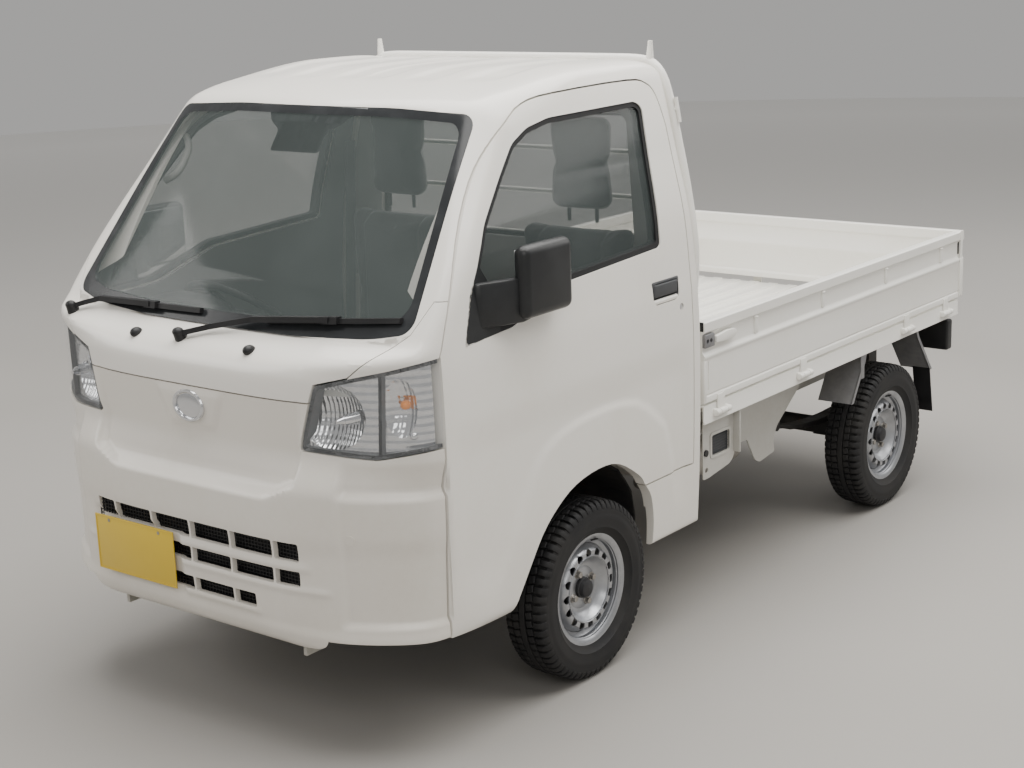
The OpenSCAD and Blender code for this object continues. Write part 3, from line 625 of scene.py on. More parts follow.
def cab_form(inset, nx, ny, nz):
    """The closed cab form, every face moved inwards by inset, on a grid of nx by ny by nz cells."""
    bm = bmesh.new()
    bmesh.ops.create_cube(bm, size=2)
    for axis, cells in enumerate((nx, ny, nz)):
        along = [e for e in bm.edges if abs(e.verts[0].co[axis] - e.verts[1].co[axis]) > 1e-6]
        bmesh.ops.subdivide_edges(bm, edges=along, cuts=cells - 1, use_grid_fill=True)
    low, high = np.array((-800, -1760, 230.0)), np.array((800, -190, 1840.0))
    unit = np.array([v.co for v in bm.verts])
    point = low + (unit + 1) / 2 * (high - low)
    core = np.clip(point, (-560, -1180, 500), (560, -450, 1350))
    way = core - point
    way /= np.linalg.norm(way, axis=1)[:, None]
    short = np.arange(len(point))
    # each point walks towards the core until it lies deep enough
    for _ in range(46):
        step = inset - cab_inside(point[short])
        point[short] += way[short] * np.maximum(step, 0)[:, None] * 0.94
        short = short[step > 0.1]
    point += way * pressings(point)[:, None]
    for vert, place in zip(bm.verts, point):
        vert.co = place
    bmesh.ops.recalc_face_normals(bm, faces=bm.faces)
    return bm


# ---------------------------------------------------------------- outlines of the cab's panels
WINDSCREEN = [(-654, 1160), (-540, 1140), (-300, 1129), (300, 1129), (540, 1140), (654, 1160),
    (568, ROOF - 96), (300, ROOF - 84), (-300, ROOF - 84), (-568, ROOF - 96)]
LAMP = [(395, 859), (600, 846), (755, 876), (755, 1112), (640, 1080), (538, 1056), (443, 1032)]
FENDER = [(538, 1056), (640, 1080), (755, 1112), (755, 1234), (680, 1234), (652, 1158)]
BONNET = [(-426, SEAM + 3), (426, SEAM + 3), (443, 1036), (538, 1060), (648, 1157), (540, 1137),
    (300, 1126), (-300, 1126), (-540, 1137), (-648, 1157), (-538, 1060), (-443, 1036)]
ARCH = [(-395, 57), (-335, 147), (-262, 251), (-190, 312), (-105, 354), (8, 372), (107, 360), (211, 299),
    (247, 258), (280, 212), (297, 132), (294, 55)]
ARCH = smooth_run([(FRONT_AXLE + y, HUB + z) for y, z in ARCH], 3)
DOOR = [(DOOR_FRONT, SILL + 8), (DOOR_FRONT, 1104)]
DOOR += smooth_run([(DOOR_FRONT + 4, 1112), (DOOR_FRONT + 62, 1230), (DOOR_FRONT + 148, 1362),
    (DOOR_FRONT + 262, 1505), (DOOR_FRONT + 346, 1585), (DOOR_FRONT + 432, 1642),
    (DOOR_FRONT + 522, 1682), (DOOR_FRONT + 665, 1699), (DOOR_REAR - 140, 1703), (DOOR_REAR - 50, 1688),
    (DOOR_REAR - 12, 1650), (DOOR_REAR + 8, 1560)], 3)
DOOR += [(DOOR_REAR + 6, 1300), (DOOR_REAR, 1030), (DOOR_REAR, ROCKER)]
DOOR += [p for p in reversed(ARCH) if p[1] > ROCKER - 4 or p[0] < FRONT_AXLE]
WINDOW = [(-1352, 1114), (-1306, 1238), (-1204, 1401), (-1083, 1526), (-1019, 1588), (-942, 1622),
    (-838, 1639), (-412, 1644), (-382, 1624), (-427, 1222), (-915, 1199), (-1150, 1123)]


def grow(outline, margin):
    """The outline with every edge moved outwards."""
    count = len(outline)
    area = sum(outline[i][0] * outline[(i + 1) % count][1] - outline[(i + 1) % count][0] * outline[i][1]
        for i in range(count))
    sign = margin if area > 0 else -margin
    grown = []
    for i in range(count):
        a, b, c = Vector(outline[i - 1]), Vector(outline[i]), Vector(outline[(i + 1) % count])
        u, v = (b - a).normalized(), (c - b).normalized()
        nu, nv = Vector((u.y, -u.x)), Vector((v.y, -v.x))
        shift = (nu + nv) / max(0.35, 1 + nu.dot(nv))
        grown.append(tuple(b + shift * sign))
    return grown


def flip(outline):
    return [(-a, b) for a, b in reversed(outline)]


def from_side(outline, x0, x1, corner=0.0):
    return prism(outline, "x", x0, x1, corner)


def from_front(outline, y1=-900, corner=0.0):
    return prism(outline, "y", -1800, y1, corner)


def from_back(outline, corner, y0=-340):
    return prism(outline, "y", y0, -100, corner)


FORMS = {OUTER: cab_form(OUTER, 180, 90, 190)}
for depth, cells in ((LENS_BACK, (110, 56, 116)), (GLASS_BACK, (70, 50, 76)), (SHEET, (150, 60, 160)),
    (WALL, (70, 50, 76)), (LINED, (70, 50, 76)), (TRIMMED, (70, 50, 76))):
    FORMS[depth] = cab_form(depth, *cells)


def skin(outer, inner, *areas):
    """The layer of the cab's skin between two depths, where all the areas overlap."""
    return keep(combine(FORMS[outer].copy(), FORMS[inner].copy()), *areas)


SCREEN_REAR = -950  # behind the windscreen, ahead of the rear window

# front panels
bumper = skin(OUTER, SHEET, block((-790, -1790, 288), (790, DOOR_FRONT - 7, SEAM)))
for outline in (LAMP, flip(LAMP)):
    bumper = cut(bumper, from_front(grow(outline, 3), corner=10))
bumper = cut(bumper, from_front([(-433, SEAM - 1), (433, SEAM - 1), (460, SEAM + 90), (-460, SEAM + 90)]))
BARS = (-402, -315, -157, 0, 157, 315, 402)  # middles of the grille's upright bars
HALF_BAR = 3.5
slots = []
for low, high, reach in ((562, 613, 402), (493, 536, 402), (408, 448, 239)):
    for a, b in zip(BARS, BARS[1:]):
        a, b = max(a + HALF_BAR, -reach), min(b - HALF_BAR, reach)
        if b > a:
            slots.append(block((a, -1760, low), (b, -1600, high), 4, 2))
bumper = cut(bumper, join(*slots))
bumper = cut(bumper, block((-727, -1660, 280), (727, -1400, 352)))
make("bumper_cover", bumper, BUMPER, smooth=48, replaces=("front_bumper",), slot="bumper_plastic")
mesh_bars = [block((x - 1, -1668, 396), (x + 1, -1664, 622)) for x in range(-408, 409, 12)]
mesh_bars += [block((-408, -1669, z - 1), (408, -1665, z + 1)) for z in range(398, 622, 10)]
make("grille_mesh", join(*mesh_bars), BLACK)
make("grille_duct", block((-420, -1655, 385), (420, -1640, 630), 4), BLACK)

bonnet = skin(OUTER, SHEET, from_front(BONNET))
make("bonnet", bonnet, PAINT, smooth=24, replaces=("nose_panel",), slot="body_paint")
fender = skin(OUTER, SHEET, from_front(FENDER), block((500, -1790, 900), (790, DOOR_FRONT + 70, 1300)))
fender = cut(fender, from_side(grow(DOOR, DOOR_GAP), 500, 900))
make("fenders_smooth", both(fender), PAINT, smooth=24, replaces=("fenders",), slot="body_paint")

# headlamps
lamp_area = ((350, -1790, 800), (790, DOOR_FRONT - 8, 1150))
lens_shell = skin(OUTER, LENS_BACK, from_front(LAMP, corner=12), block(*lamp_area))
make("lamp_lenses", both(lens_shell), LENS, smooth=30, slot="lamp_lens")
rim = skin(LENS_BACK, WALL, from_front(grow(LAMP, -0.5), corner=12), block(*lamp_area))
rim = cut(rim, from_front(grow(LAMP, -11), corner=9))
make("lamp_rims", both(rim), LAMP_RIM, smooth=30)
housing = keep(FORMS[SHEET].copy(), from_front(grow(LAMP, -2)),
    block((380, -1790, 800), (726, -1466, 1150)))
housing = cut(housing, block((300, -1538, 800), (560, -1400, 1150)))
housing = cut(housing, ball((508, -1660, 950), 132, (1, 0.76, 0.84)),
    ball((668, -1578, 978), 100, (0.6, 0.8, 1.1)))
make("lamp_reflectors", both(housing), REFLECTOR, smooth=30, replaces=("headlamps",), slot="lamp_lens")
divider = skin(LENS_BACK, SHEET, from_front([(603, 850), (611, 850), (620, 1072), (612, 1072)]),
    block(*lamp_area))
make("lamp_dividers", both(divider), LAMP_RIM)
bulb = join(rod((540, -1572, 950), (528, -1612, 950), 17, 13),
    rod((528, -1612, 950), (524, -1632, 950), 11, 5))
make("lamp_bulbs", both(bulb), CHROME)
amber = join(ball((652, -1510, 985), 13, (1, 1.3, 1)), rod((652, -1504, 985), (650, -1480, 985), 10))
make("turn_bulbs", both(amber), AMBER)
make("side_bulbs", both(ball((672, -1508, 905), 11)), CHROME)

# windscreen: its clear pane, the black border round it and the sensor patch
opening = [(-621, 1196), (-520, 1174), (-300, 1165), (300, 1165), (520, 1174), (621, 1196),
    (541, ROOF - 120), (300, ROOF - 108), (-300, ROOF - 108), (-541, ROOF - 120)]
pane = skin(OUTER, LENS_BACK, from_front(grow(opening, 2), y1=SCREEN_REAR, corner=40))
make("windscreen_pane", pane, GLASS, smooth=40, replaces=("windscreen",), slot="glass")
border = skin(OUTER, GLASS_BACK, from_front(grow(WINDSCREEN, -1), y1=SCREEN_REAR, corner=34))
border = cut(border, from_front(grow(opening, 2), y1=-900, corner=40))
patch = [(-165, ROOF - 100), (165, ROOF - 100), (140, ROOF - 128), (96, ROOF - 150), (92, ROOF - 205),
    (-92, ROOF - 205), (-96, ROOF - 150), (-140, ROOF - 128)]
sensor = skin(LENS_BACK, GLASS_BACK, from_front(patch, y1=SCREEN_REAR, corner=8))
make("windscreen_border", join(border, sensor), FRIT, smooth=40)

# cab shell with its openings
BACK_PANE = [(-530, 1178), (530, 1178), (500, ROOF - 168), (-500, ROOF - 168)]
shell = combine(FORMS[OUTER].copy(), FORMS[WALL].copy())
shell = cut(shell, from_front(WINDSCREEN, y1=SCREEN_REAR, corner=36),
    block((-800, -1800, 200), (800, DOOR_FRONT - 4, 1130)), block((-700, -1700, 200), (700, -200, 440)),
    block((-800, -1800, 200), (800, -1180, SILL + 60)), from_back(BACK_PANE, 30))
for side in (1, -1):
    x0, x1 = sorted((side * 420, side * 900))
    shell = cut(shell, from_side(grow(DOOR, DOOR_GAP), x0, x1),
        from_side(ARCH + [(ARCH[-1][0], 150), (ARCH[0][0], 150)], x0, x1))
shell = cut(shell, from_front(grow(FENDER, 2), y1=DOOR_FRONT + 70),
    from_front(flip(grow(FENDER, 2)), y1=DOOR_FRONT + 70))
make("cab_body", shell, PAINT, smooth=24, replaces=("cab_shell", "cab_back", "cab_corners"),
    slot="body_paint")
lining = combine(FORMS[WALL].copy(), FORMS[LINED].copy())
lining = cut(lining, from_front(grow(WINDSCREEN, -14), y1=SCREEN_REAR, corner=20),
    block((-800, -1800, 150), (800, 0, 1000)), from_back(grow(BACK_PANE, -6), 30, -400),
    from_side(grow(DOOR, DOOR_GAP), -900, 900))
make("cab_lining", lining, LINING, smooth=30)
rear_glass = skin(GLASS_BACK, SHEET, from_back(grow(BACK_PANE, -10), 26))
make("rear_pane", rear_glass, SIDE_GLASS, replaces=("rear_window",), slot="glass")
rear_seal = cut(skin(OUTER, SHEET, from_back(grow(BACK_PANE, 4), 34)),
    from_back(grow(BACK_PANE, -16), 22))
make("rear_window_seal", rear_seal, SEAL)

# doors, drawn on the left
door = skin(OUTER, WALL, from_side(DOOR, 560, 900))
door = cut(door, from_side(WINDOW, 500, 900, corner=16))
door = cut(door, block((690, -492, 1056), (760, -353, 1124), 22, 5))
door = cut(door, rod((700, -345, 1030), (745, -345, 1030), 11))
cup = cut(block((702, -496, 1052), (728, -349, 1128), 8, 3),
    block((712, -490, 1058), (740, -355, 1122), 20, 5))
flap = block((716, -486, 1078), (730, -359, 1118), 6, 4)
seal = skin(LENS_BACK, WALL, from_side(grow(WINDOW, 3), 500, 900, corner=18))
seal = cut(seal, from_side(grow(WINDOW, -15), 480, 920, corner=10))
sail = [(-1356, 1110), (-1312, 1238), (-1262, 1308), (-1228, 1250), (-1205, 1122)]
inner = skin(WALL, TRIMMED, from_side(grow(DOOR, -26), 520, 900))
inner = cut(inner, from_side(grow(WINDOW, 6), 480, 920, corner=10))
head = block((742, -1175, 1150), (791, -962, 1345), 24, 5)
foot_plan = [(692, -1296), (722, -1288), (748, -1222), (771, -1160), (760, -1110), (744, -1130),
    (722, -1200)]
foot = prism(foot_plan, "z", 1142, 1262, bevel=9)
door_parts = [
    ("door_skin", door, PAINT, {"smooth": 24, "replaces": "door_", "slot": "body_paint"}),
    ("door_handle", join(cup, flap), GREY, {}),
    ("door_lip", block((718, -488, 1057), (731, -357, 1072), 6, 4), PAINT, {}),
    ("door_lock", rod((722, -345, 1030), (731, -345, 1030), 9), CHROME, {}),
    ("door_pane", skin(GLASS_BACK, SHEET, from_side(grow(WINDOW, -6), 500, 900, corner=12)),
        SIDE_GLASS, {"replaces": "door_glass_", "slot": "glass"}),
    ("window_seal", seal, SEAL, {}),
    ("mirror_sail", skin(OUTER, SHEET, from_side(sail, 560, 900, corner=6)), MIRROR_BLACK, {}),
    ("door_lining", inner, TRIM, {}),
    ("door_armrest", block((628, -1180, 890), (690, -700, 940), 16, 4), GREY, {}),
    ("mirror_head", join(head, foot), MIRROR_BLACK, {"replaces": "mirror_", "slot": "black_plastic"}),
    ("mirror_pane", block((741, -1160, 1164), (744, -978, 1331), 1), MIRROR, {}),
]
make_pairs(door_parts, "_door")


# ---------------------------------------------------------------- small parts on the front
OUTSIDE = BVHTree.FromBMesh(FORMS[OUTER])


def on_skin(x, z, lift=0.0):
    """The point of the front skin at (x, z), moved outwards by lift, and the way the skin faces."""
    place, way = OUTSIDE.ray_cast(Vector((x, -1900, z)), Vector((0, 1, 0)))[:2]
    if way.y > 0:
        way = -way
    return place + way * lift, way


def swept(points, outline):
    """A cross-section in (y, z) carried along points that run mainly in x."""
    bm = bmesh.new()
    x, y, z = points[0]
    bm.faces.new([bm.verts.new((x, y + a, z + b)) for a, b in outline])
    ahead = bm.faces[:]
    for start, end in zip(points, points[1:]):
        grown = bmesh.ops.extrude_face_region(bm, geom=ahead)["geom"]
        ahead = [item for item in grown if isinstance(item, bmesh.types.BMFace)]
        moved = [item for item in grown if isinstance(item, bmesh.types.BMVert)]
        bmesh.ops.translate(bm, vec=Vector(end) - Vector(start), verts=moved)
    bmesh.ops.recalc_face_normals(bm, faces=bm.faces)
    return bm


def between(start, end, t):
    return [a + (b - a) * t for a, b in zip(start, end)]


arms = []
for pivot, bend, start, end in (((-592, 1112), (-490, 1141), (-470, 1146), (-62, 1156)),
    ((-75, 1098), (150, 1150), (197, 1154), (614, 1186))):
    root, way = on_skin(*pivot)
    middle = between(start, end, 0.5)
    arms.append(rod(root - way * 4, root + way * 22, 19, 15))
    arms.append(ball(root + way * 20, 16, (1, 1, 0.8)))
    path = [root + way * 15, on_skin(*between(pivot, bend, 0.4), 17)[0], on_skin(*bend, 20)[0],
        on_skin(*middle, 19)[0]]
    arms.append(swept(path, [(-10, -9), (6, -5), (9, 6), (-8, 6)]))
    stations = [on_skin(*between(start, end, k / 10), 8)[0] for k in range(11)]
    arms.append(swept(stations, [(-9, -6), (2, -9), (8, -4), (7, 6), (-6, 7)]))
    arms.append(swept([on_skin(*between(start, end, t), 14)[0] for t in (0.44, 0.5, 0.56)],
        [(-12, -10), (9, -6), (10, 8), (-9, 9)]))
make("wiper_arms", join(*arms), BLACK, smooth=40, replaces=("wipers",), slot="black_plastic")
nozzles = []
for x in (-252, 198):
    root, way = on_skin(x, 1093)
    nozzles.append(ball(root + way * 2, 18, (0.85, 1.1, 0.8)))
make("washer_nozzles", join(*nozzles), BLACK)

badge_at, way = on_skin(0, 930)
badge = lathe([(-3, 61), (4, 61), (7, 58), (7, 51), (4, 48), (-3, 48)], (0, 0, 0), 72)
badge = join(badge, ball((0, 0, 0), 51, (0.09, 1, 1)))
turned(badge, -90, "Z")
make("round_badge", shifted(stretched(badge, (1, 1, 0.74)), badge_at), CHROME)
cover_at, way = on_skin(539, 634)
make("bumper_screw_cover", rod(cover_at - way * 3, cover_at + way * 1.2, 13), BUMPER)

front_plate = block((-400, FRONT + 1.2, 400), (-70, FRONT + 4, 565), 1, 2)
front_rim = cut(block((-400, FRONT + 0.2, 400), (-70, FRONT + 3, 565), 1, 2),
    block((-395, FRONT - 9, 405), (-75, FRONT + 9, 560), 2, 2))
rear_plate = block((-165, TAIL - 87, 436), (165, TAIL - 84.8, 601), 1, 2)
rear_rim = cut(block((-165, TAIL - 86, 436), (165, TAIL - 84, 601), 1, 2),
    block((-160, TAIL - 99, 441), (160, TAIL - 70, 596), 2, 2))
make("blank_plates", join(front_plate, front_rim, rear_plate, rear_rim), PLATE,
    replaces=("number_plates",))
screws = [rod((x, FRONT + 3, 552), (x, FRONT + 0.2, 552), 5) for x in (-340, -130)]
screws += [rod((x, TAIL - 87, 588), (x, TAIL - 83.6, 588), 5) for x in (-105, 105)]
make("plate_screws", join(*screws), NUT)

# ---------------------------------------------------------------- inside the cab
dash_side = [(-1507, 800), (-1280, 782), (-1252, 900), (-1262, 1000), (-1270, 1058), (-1290, 1084),
    (-1318, 1096), (-1437, 1115), (-1530, 1122), (-1530, 1110), (-1507, 1108)]
dash = keep(prism(dash_side, "x", -598, 598, bevel=5), FORMS[TRIMMED].copy())
column_gap = rod((-330, -1500, 700), (-330, -1150, 1117), 36)
dash = cut(dash, column_gap)
make("dash_panel", dash, GREY, smooth=34, replaces=("dashboard",), slot="grey_plastic")
hood = keep(ball((-330, -1352, 1098), 150, (1.15, 0.62, 0.38)),
    block((-520, -1430, 1086), (-140, -1262, 1160)))
make("dash_hood", hood, BLACK, smooth=34)
console = [block((-120, -1276, 830), (120, -1243, 1040), 10, 3),
    block((-96, -1248, 960), (96, -1238, 1020), 3)]
console += [rod((x, -1246, 880), (x, -1226, 880), 20, 18) for x in (-70, 0, 70)]
make("dash_console", join(*console), BLACK)
vents = [block((x - 52, -1268, 990), (x + 52, -1252, 1040), 6, 3) for x in (-520, 200, 520)]
make("dash_vents", join(*vents), BLACK)
glove_box = block((160, -1262, 860), (540, -1244, 962), 8, 3)
make("glove_box", glove_box, TRIM)

TILT = -40  # degrees, of the steering column
WHEEL_AT = (-330, -1137.5, 1052)


def tilted(bm):
    """A shape drawn about the steering axis (z), put in its place."""
    return shifted(turned(bm, TILT, "X"), WHEEL_AT)


grip = [(13 * math.cos(a), 171 + 14 * math.sin(a)) for a in [math.tau * k / 20 for k in range(20)]]
rim = turned(lathe(grip, (0, 0, 0), 80), 90, "Y")
spokes = []
for angle in (15, 165, 270):
    reach = Vector((math.cos(math.radians(angle)), math.sin(math.radians(angle)), 0))
    spokes.append(rod(reach * 30 + Vector((0, 0, -16)), reach * 165, 15, 10))
pad = block((-66, -52, -40), (66, 50, -6), 16, 4)
make("steering_rim", tilted(join(rim, *spokes, pad)), BLACK, "steering", smooth=40,
    replaces=("steering_wheel",), slot="black_plastic")
column = join(rod((0, 0, -330), (0, 0, -60), 33), rod((-150, 10, -110), (150, 10, -110), 8, 8))
make("steering_shroud", tilted(column), GREY, replaces=("steering_column",), slot="grey_plastic")

handle = [(-577, -1082, 1568), (-560, -1092, 1560), (-542, -1104, 1536), (-540, -1136, 1490),
    (-552, -1160, 1458), (-588, -1168, 1444)]
make("grab_handle", pipe(handle, 11), LINING)
belt = prism([(652, 760), (656, 760), (606, 1470), (602, 1470)], "y", -352, -306)
make("seat_belts", both(belt), CLOTH_SIDE)


def evaluated_mesh(holder):
    """A new mesh of the object with its modifiers applied."""
    graph = bpy.context.evaluated_depsgraph_get()
    return bpy.data.meshes.new_from_object(holder.evaluated_get(graph))


def stuffed(bm, limit, voxel=0.008):
    """The shape swelled like a stuffed cover, no point moving further than limit millimetres."""
    stretched(bm, (MM, MM, MM))
    mesh = bpy.data.meshes.new("stuffing")
    bm.to_mesh(mesh)
    bm.free()
    holder = bpy.data.objects.new("stuffing", mesh)
    bpy.context.scene.collection.objects.link(holder)
    even = holder.modifiers.new("even", "REMESH")
    even.mode = "VOXEL"
    even.voxel_size = voxel
    remeshed = evaluated_mesh(holder)
    holder.modifiers.clear()
    holder.data = remeshed
    start = np.array([v.co for v in remeshed.vertices])
    cloth = holder.modifiers.new("cover", "CLOTH")
    cloth.settings.use_pressure = True
    cloth.settings.uniform_pressure_force = 4
    cloth.settings.effector_weights.gravity = 0
    for step in range(1, 21):
        bpy.context.scene.frame_set(step)
    swelled = evaluated_mesh(holder)
    way = np.array([v.co for v in swelled.vertices]) - start
    length = np.linalg.norm(way, axis=1)[:, None] + 1e-9
    reached = start + way * np.minimum(1, limit * MM / length)
    holder.modifiers.clear()
    bpy.context.scene.frame_set(1)
    bm = bmesh.new()
    bm.from_mesh(remeshed)
    for vert, place in zip(bm.verts, reached):
        vert.co = place / MM
    for _ in range(3):
        bmesh.ops.smooth_vert(bm, verts=bm.verts, factor=0.5, use_axis_x=True, use_axis_y=True,
            use_axis_z=True)
    bpy.data.objects.remove(holder)
    for used in (mesh, remeshed, swelled):
        bpy.data.meshes.remove(used)
    return bm


def sewn(bm, axis, middle, lines, depth=5, width=5):
    """Presses sewn channels into a pad, where its width coordinate meets each line."""
    bm.normal_update()
    for vert in bm.verts:
        away = min(abs(abs(vert.co[axis] - middle) - place) for place in lines)
        vert.co -= vert.normal * depth * math.exp(-((away / width) ** 2))
    return bm


def shear_back(bm, low, slope):
    """Leans a shape rearwards with height above low."""
    for vert in bm.verts:
        vert.co.y += max(0, vert.co.z - low) * slope
    return bm


SEAT_MID = 365
SEAT_SEAMS = (120,)  # sewn channels, this far from the seat's middle
cushion = block((SEAT_MID - 212, -836, 694), (SEAT_MID + 212, -424, 786), 34, 5)
cushion = sewn(stuffed(cushion, 24), 0, SEAT_MID, SEAT_SEAMS, 6, 6)
back = block((SEAT_MID - 212, -402, 690), (SEAT_MID + 212, -318, 1266), 32, 5)
back = shear_back(sewn(stuffed(back, 24), 0, SEAT_MID, SEAT_SEAMS, 6, 6), 690, 0.012)
rest = block((SEAT_MID - 100, -378, 1300), (SEAT_MID + 115, -304, 1590), 34, 5)
rest = stuffed(rest, 22)
for side, hand in SIDES:
    for name, part, node in (("cushion", cushion, "seat_cushions"), ("backrest", back, "seat_backs"),
        ("headrest", rest, "seat_backs")):
        shape = on_side(part.copy(), side)
        piece = make("seat_%s_%s" % (name, hand), shape, CLOTH, smooth=60, levels=1, replaces=(node,),
            slot="seat_fabric")
seat_base = block((185, -820, 655), (545, -300, 690), 8, 3)
posts = [rod((x, -338, 1262), (x, -338, 1330), 6) for x in (SEAT_MID - 45, SEAT_MID + 60)]
make("seat_bases", both(join(seat_base, *posts)), DARK_METAL)


# ---------------------------------------------------------------- wheels
DISC_HOLES = 16
WHEEL_NUTS = 4
TREAD_BLOCKS = 64
HALF_BLOCK = 2.8  # degrees; the two shoulders' blocks are staggered by about half a step


def ring_of(bm, count):
    """bm repeated evenly about the X axis."""
    whole = bm.verts[:] + bm.edges[:] + bm.faces[:]
    bmesh.ops.spin(bm, geom=whole, cent=(0, 0, 0), axis=(1, 0, 0), angle=math.tau * (count - 1) / count,
        steps=count - 1, use_duplicate=True)
    return bm


def pressed_wheel():
    """Rim and dished disc with a ring of round holes, the outer side at +x."""
    rim = [(54, 169), (50, 169), (48, 156), (45, 153), (28, 151), (18, 138), (-18, 138), (-30, 151),
        (-46, 153), (-49, 156), (-51, 169), (-54, 169), (-54, 164), (-50, 150), (-32, 147), (-20, 134),
        (19, 134), (22, 141), (26, 146), (38, 147), (40, 149), (45, 149), (50, 154), (53, 164)]
    disc = [(10, 137), (22, 131), (34, 125), (42, 121), (46, 115), (46, 104), (43, 96), (34, 89),
        (22, 80), (17, 72), (16, 64), (18, 60), (18, 32), (14, 32), (13, 74), (18, 83), (31, 92),
        (39, 98), (42, 106), (42, 114), (38, 118), (20, 127), (8, 134)]
    plate = lathe(disc, (0, 0, 0), 96)
    holes = ring_of(rod((24, 0, 109), (60, 0, 109), 12.5, sides=20), DISC_HOLES)
    ring = lathe([(47, 101), (47.6, 99), (46, 97), (44, 98), (44, 102)], (0, 0, 0), 96)
    return join(cut(plate, holes), lathe(rim, (0, 0, 0), 96), ring)


def wheel_bolts():
    nuts = ring_of(join(rod((17, 0, 50), (21, 0, 50), 14, 12),
        rod((20, 0, 50), (31, 0, 50), 10.5, 9.5, sides=6)), WHEEL_NUTS)
    return turned(nuts, 24, "X")


def hub_end():
    cap = lathe([(14, 1), (14, 31), (26, 31), (28, 28), (40, 25), (43, 20), (44, 1)], (0, 0, 0), 36)
    drum = lathe([(-38, 12), (-38, 92), (-34, 98), (4, 98), (8, 94), (12, 60), (12, 12)], (0, 0, 0), 48)
    return join(cap, drum)


def road_tyre():
    """Carcass with block tread and lugs that run over both shoulders."""
    half = [(50, 154), (53, 166), (60, 176), (66, 186), (69, 188), (69, 192), (69, 197), (72, 212),
        (72, 226), (70, 232), (71, 236), (69, 244), (65, 252), (60, 257), (36, 259)]
    carcass = lathe(half + [(-x, r) for x, r in reversed(half)], (0, 0, 0), 120)
    shoulder = [(38, 256), (38, 267.5), (53, 266.5), (61, 263), (68, 253), (71, 243), (67, 241),
        (60, 252)]
    lug = prism(shoulder, "y", -8.5, 8.5, bevel=1.5)
    inner = turned(block((13, -10.5, 255), (34, 10.5, 268.4), 2, 1), 14, "Z", (23, 0, 0))
    side = ring_of(join(lug, inner), TREAD_BLOCKS)
    other = turned(turned(side.copy(), 180, "Z"), HALF_BLOCK, "X")
    rib = lathe([(-9, 256), (-9, 267.5), (-8, 268.5), (8, 268.5), (9, 267.5), (9, 256)], (0, 0, 0), 96)
    return join(carcass, side, other, rib)


def at_wheel(bm, side, y):
    return shifted(on_side(bm.copy(), side), (side * WHEEL_X, y, HUB))


steel, nuts, hub, tread = pressed_wheel(), wheel_bolts(), hub_end(), road_tyre()
valve = rod((34, 30, 140), (56, 32, 148), 3.2, 2.4, sides=12)
for end, axle in (("front", FRONT_AXLE), ("rear", REAR_AXLE)):
    for side, hand in SIDES:
        body = end + "_" + hand + "_wheel"
        label = end + "_" + hand
        make("rim_" + label, at_wheel(steel, side, axle), WHEEL, body, smooth=30,
            replaces=("wheel_" + label,), slot="wheel_silver")
        make("nuts_" + label, at_wheel(nuts, side, axle), NUT, body)
        make("hub_" + label, at_wheel(hub, side, axle), DARK_METAL, body)
        make("valve_" + label, at_wheel(valve, side, axle), BLACK, body)
        make("tread_" + label, at_wheel(tread, side, axle), TYRE, body, smooth=34,
            replaces=("tyre_" + label,), slot="rubber")
SPARE = (0, REAR_AXLE + 181, 485)
for name, part, material in (("spare_rim", steel, WHEEL), ("spare_tread", tread, TYRE)):
    stowed = shifted(turned(part.copy(), 90, "Y"), SPARE)
    make(name, stowed, material, smooth=32, replaces=("spare_wheel",), slot="rubber")
make("spare_carrier", join(rod((0, SPARE[1], 460), (0, SPARE[1], 575), 9),
    rod((0, SPARE[1], 462), (0, SPARE[1], 468), 62)), CHASSIS)

# ---------------------------------------------------------------- bed
GATE_LOW, GATE_BACK = 695, GATE_X - 30
SIDE_END = TAIL - 43
floor_strips = [block((x - 22, BED_FRONT + 24, 668), (x + 22, SIDE_END - 3, 679), 3, 2)
    for x in range(-630, 631, 90)]
deck = block((-695, BED_FRONT + 21, 660), (695, SIDE_END - 1, 675.5), 1.5)
make("bed_deck", join(deck, *floor_strips), BED_PAINT, replaces=("bed_floor",), slot="body_paint")
sill = [(695.5, 687), (727, 687), (727.5, 684), (727.5, 640), (730, 634), (730, 629), (724, 629),
    (723, 640), (723, 682), (699.5, 682), (699.5, 660), (695.5, 660)]
make("bed_sill_flanges", both(prism(sill, "y", BED_FRONT, SIDE_END)), BED_PAINT, smooth=30)

# a side gate from behind (x, z)
gate_section = [(GATE_BACK, GATE_TOP - 2), (GATE_BACK + 3, GATE_TOP), (GATE_X - 4, GATE_TOP),
    (GATE_X, GATE_TOP - 4), (GATE_X, 923), (GATE_X - 3, 919), (GATE_X - 8, 915), (GATE_X - 10, 908),
    (GATE_X - 10, 862), (GATE_X - 8, 855), (GATE_X - 1.5, 848), (GATE_X, 844), (GATE_X, 840),
    (GATE_X - 2, 836), (GATE_X - 4, 832), (GATE_X - 4, 724), (GATE_X - 6.5, 721), (GATE_X - 6.5, 718),
    (GATE_X - 3, 715), (GATE_X - 2, 712), (GATE_X - 2, GATE_LOW + 2), (GATE_X - 4, GATE_LOW),
    (GATE_BACK + 2, GATE_LOW), (GATE_BACK, GATE_LOW + 2), (GATE_BACK, 716), (GATE_BACK + 5, 724),
    (GATE_BACK + 5, 824), (GATE_BACK + 1, 832), (GATE_BACK + 1, 846), (GATE_BACK + 5, 854),
    (GATE_BACK + 5, 912), (GATE_BACK, 920)]
HINGES = (BED_FRONT + 95, BED_FRONT + 628, BED_FRONT + 1413, SIDE_END - 121)  # y, on the side gates
REAR_HINGES = (-560, -190, 190, 560)  # x, on the tailgate


def barrel(start, end, radius=10.5):
    """Hinge knuckle with rounded ends."""
    bm = rod(start, end, radius)
    rims = [e for e in bm.edges if e.calc_face_angle(0) > 1]
    bmesh.ops.bevel(bm, geom=rims, offset=2.5, segments=2, profile=0.5, affect="EDGES", material=-1)
    return bm


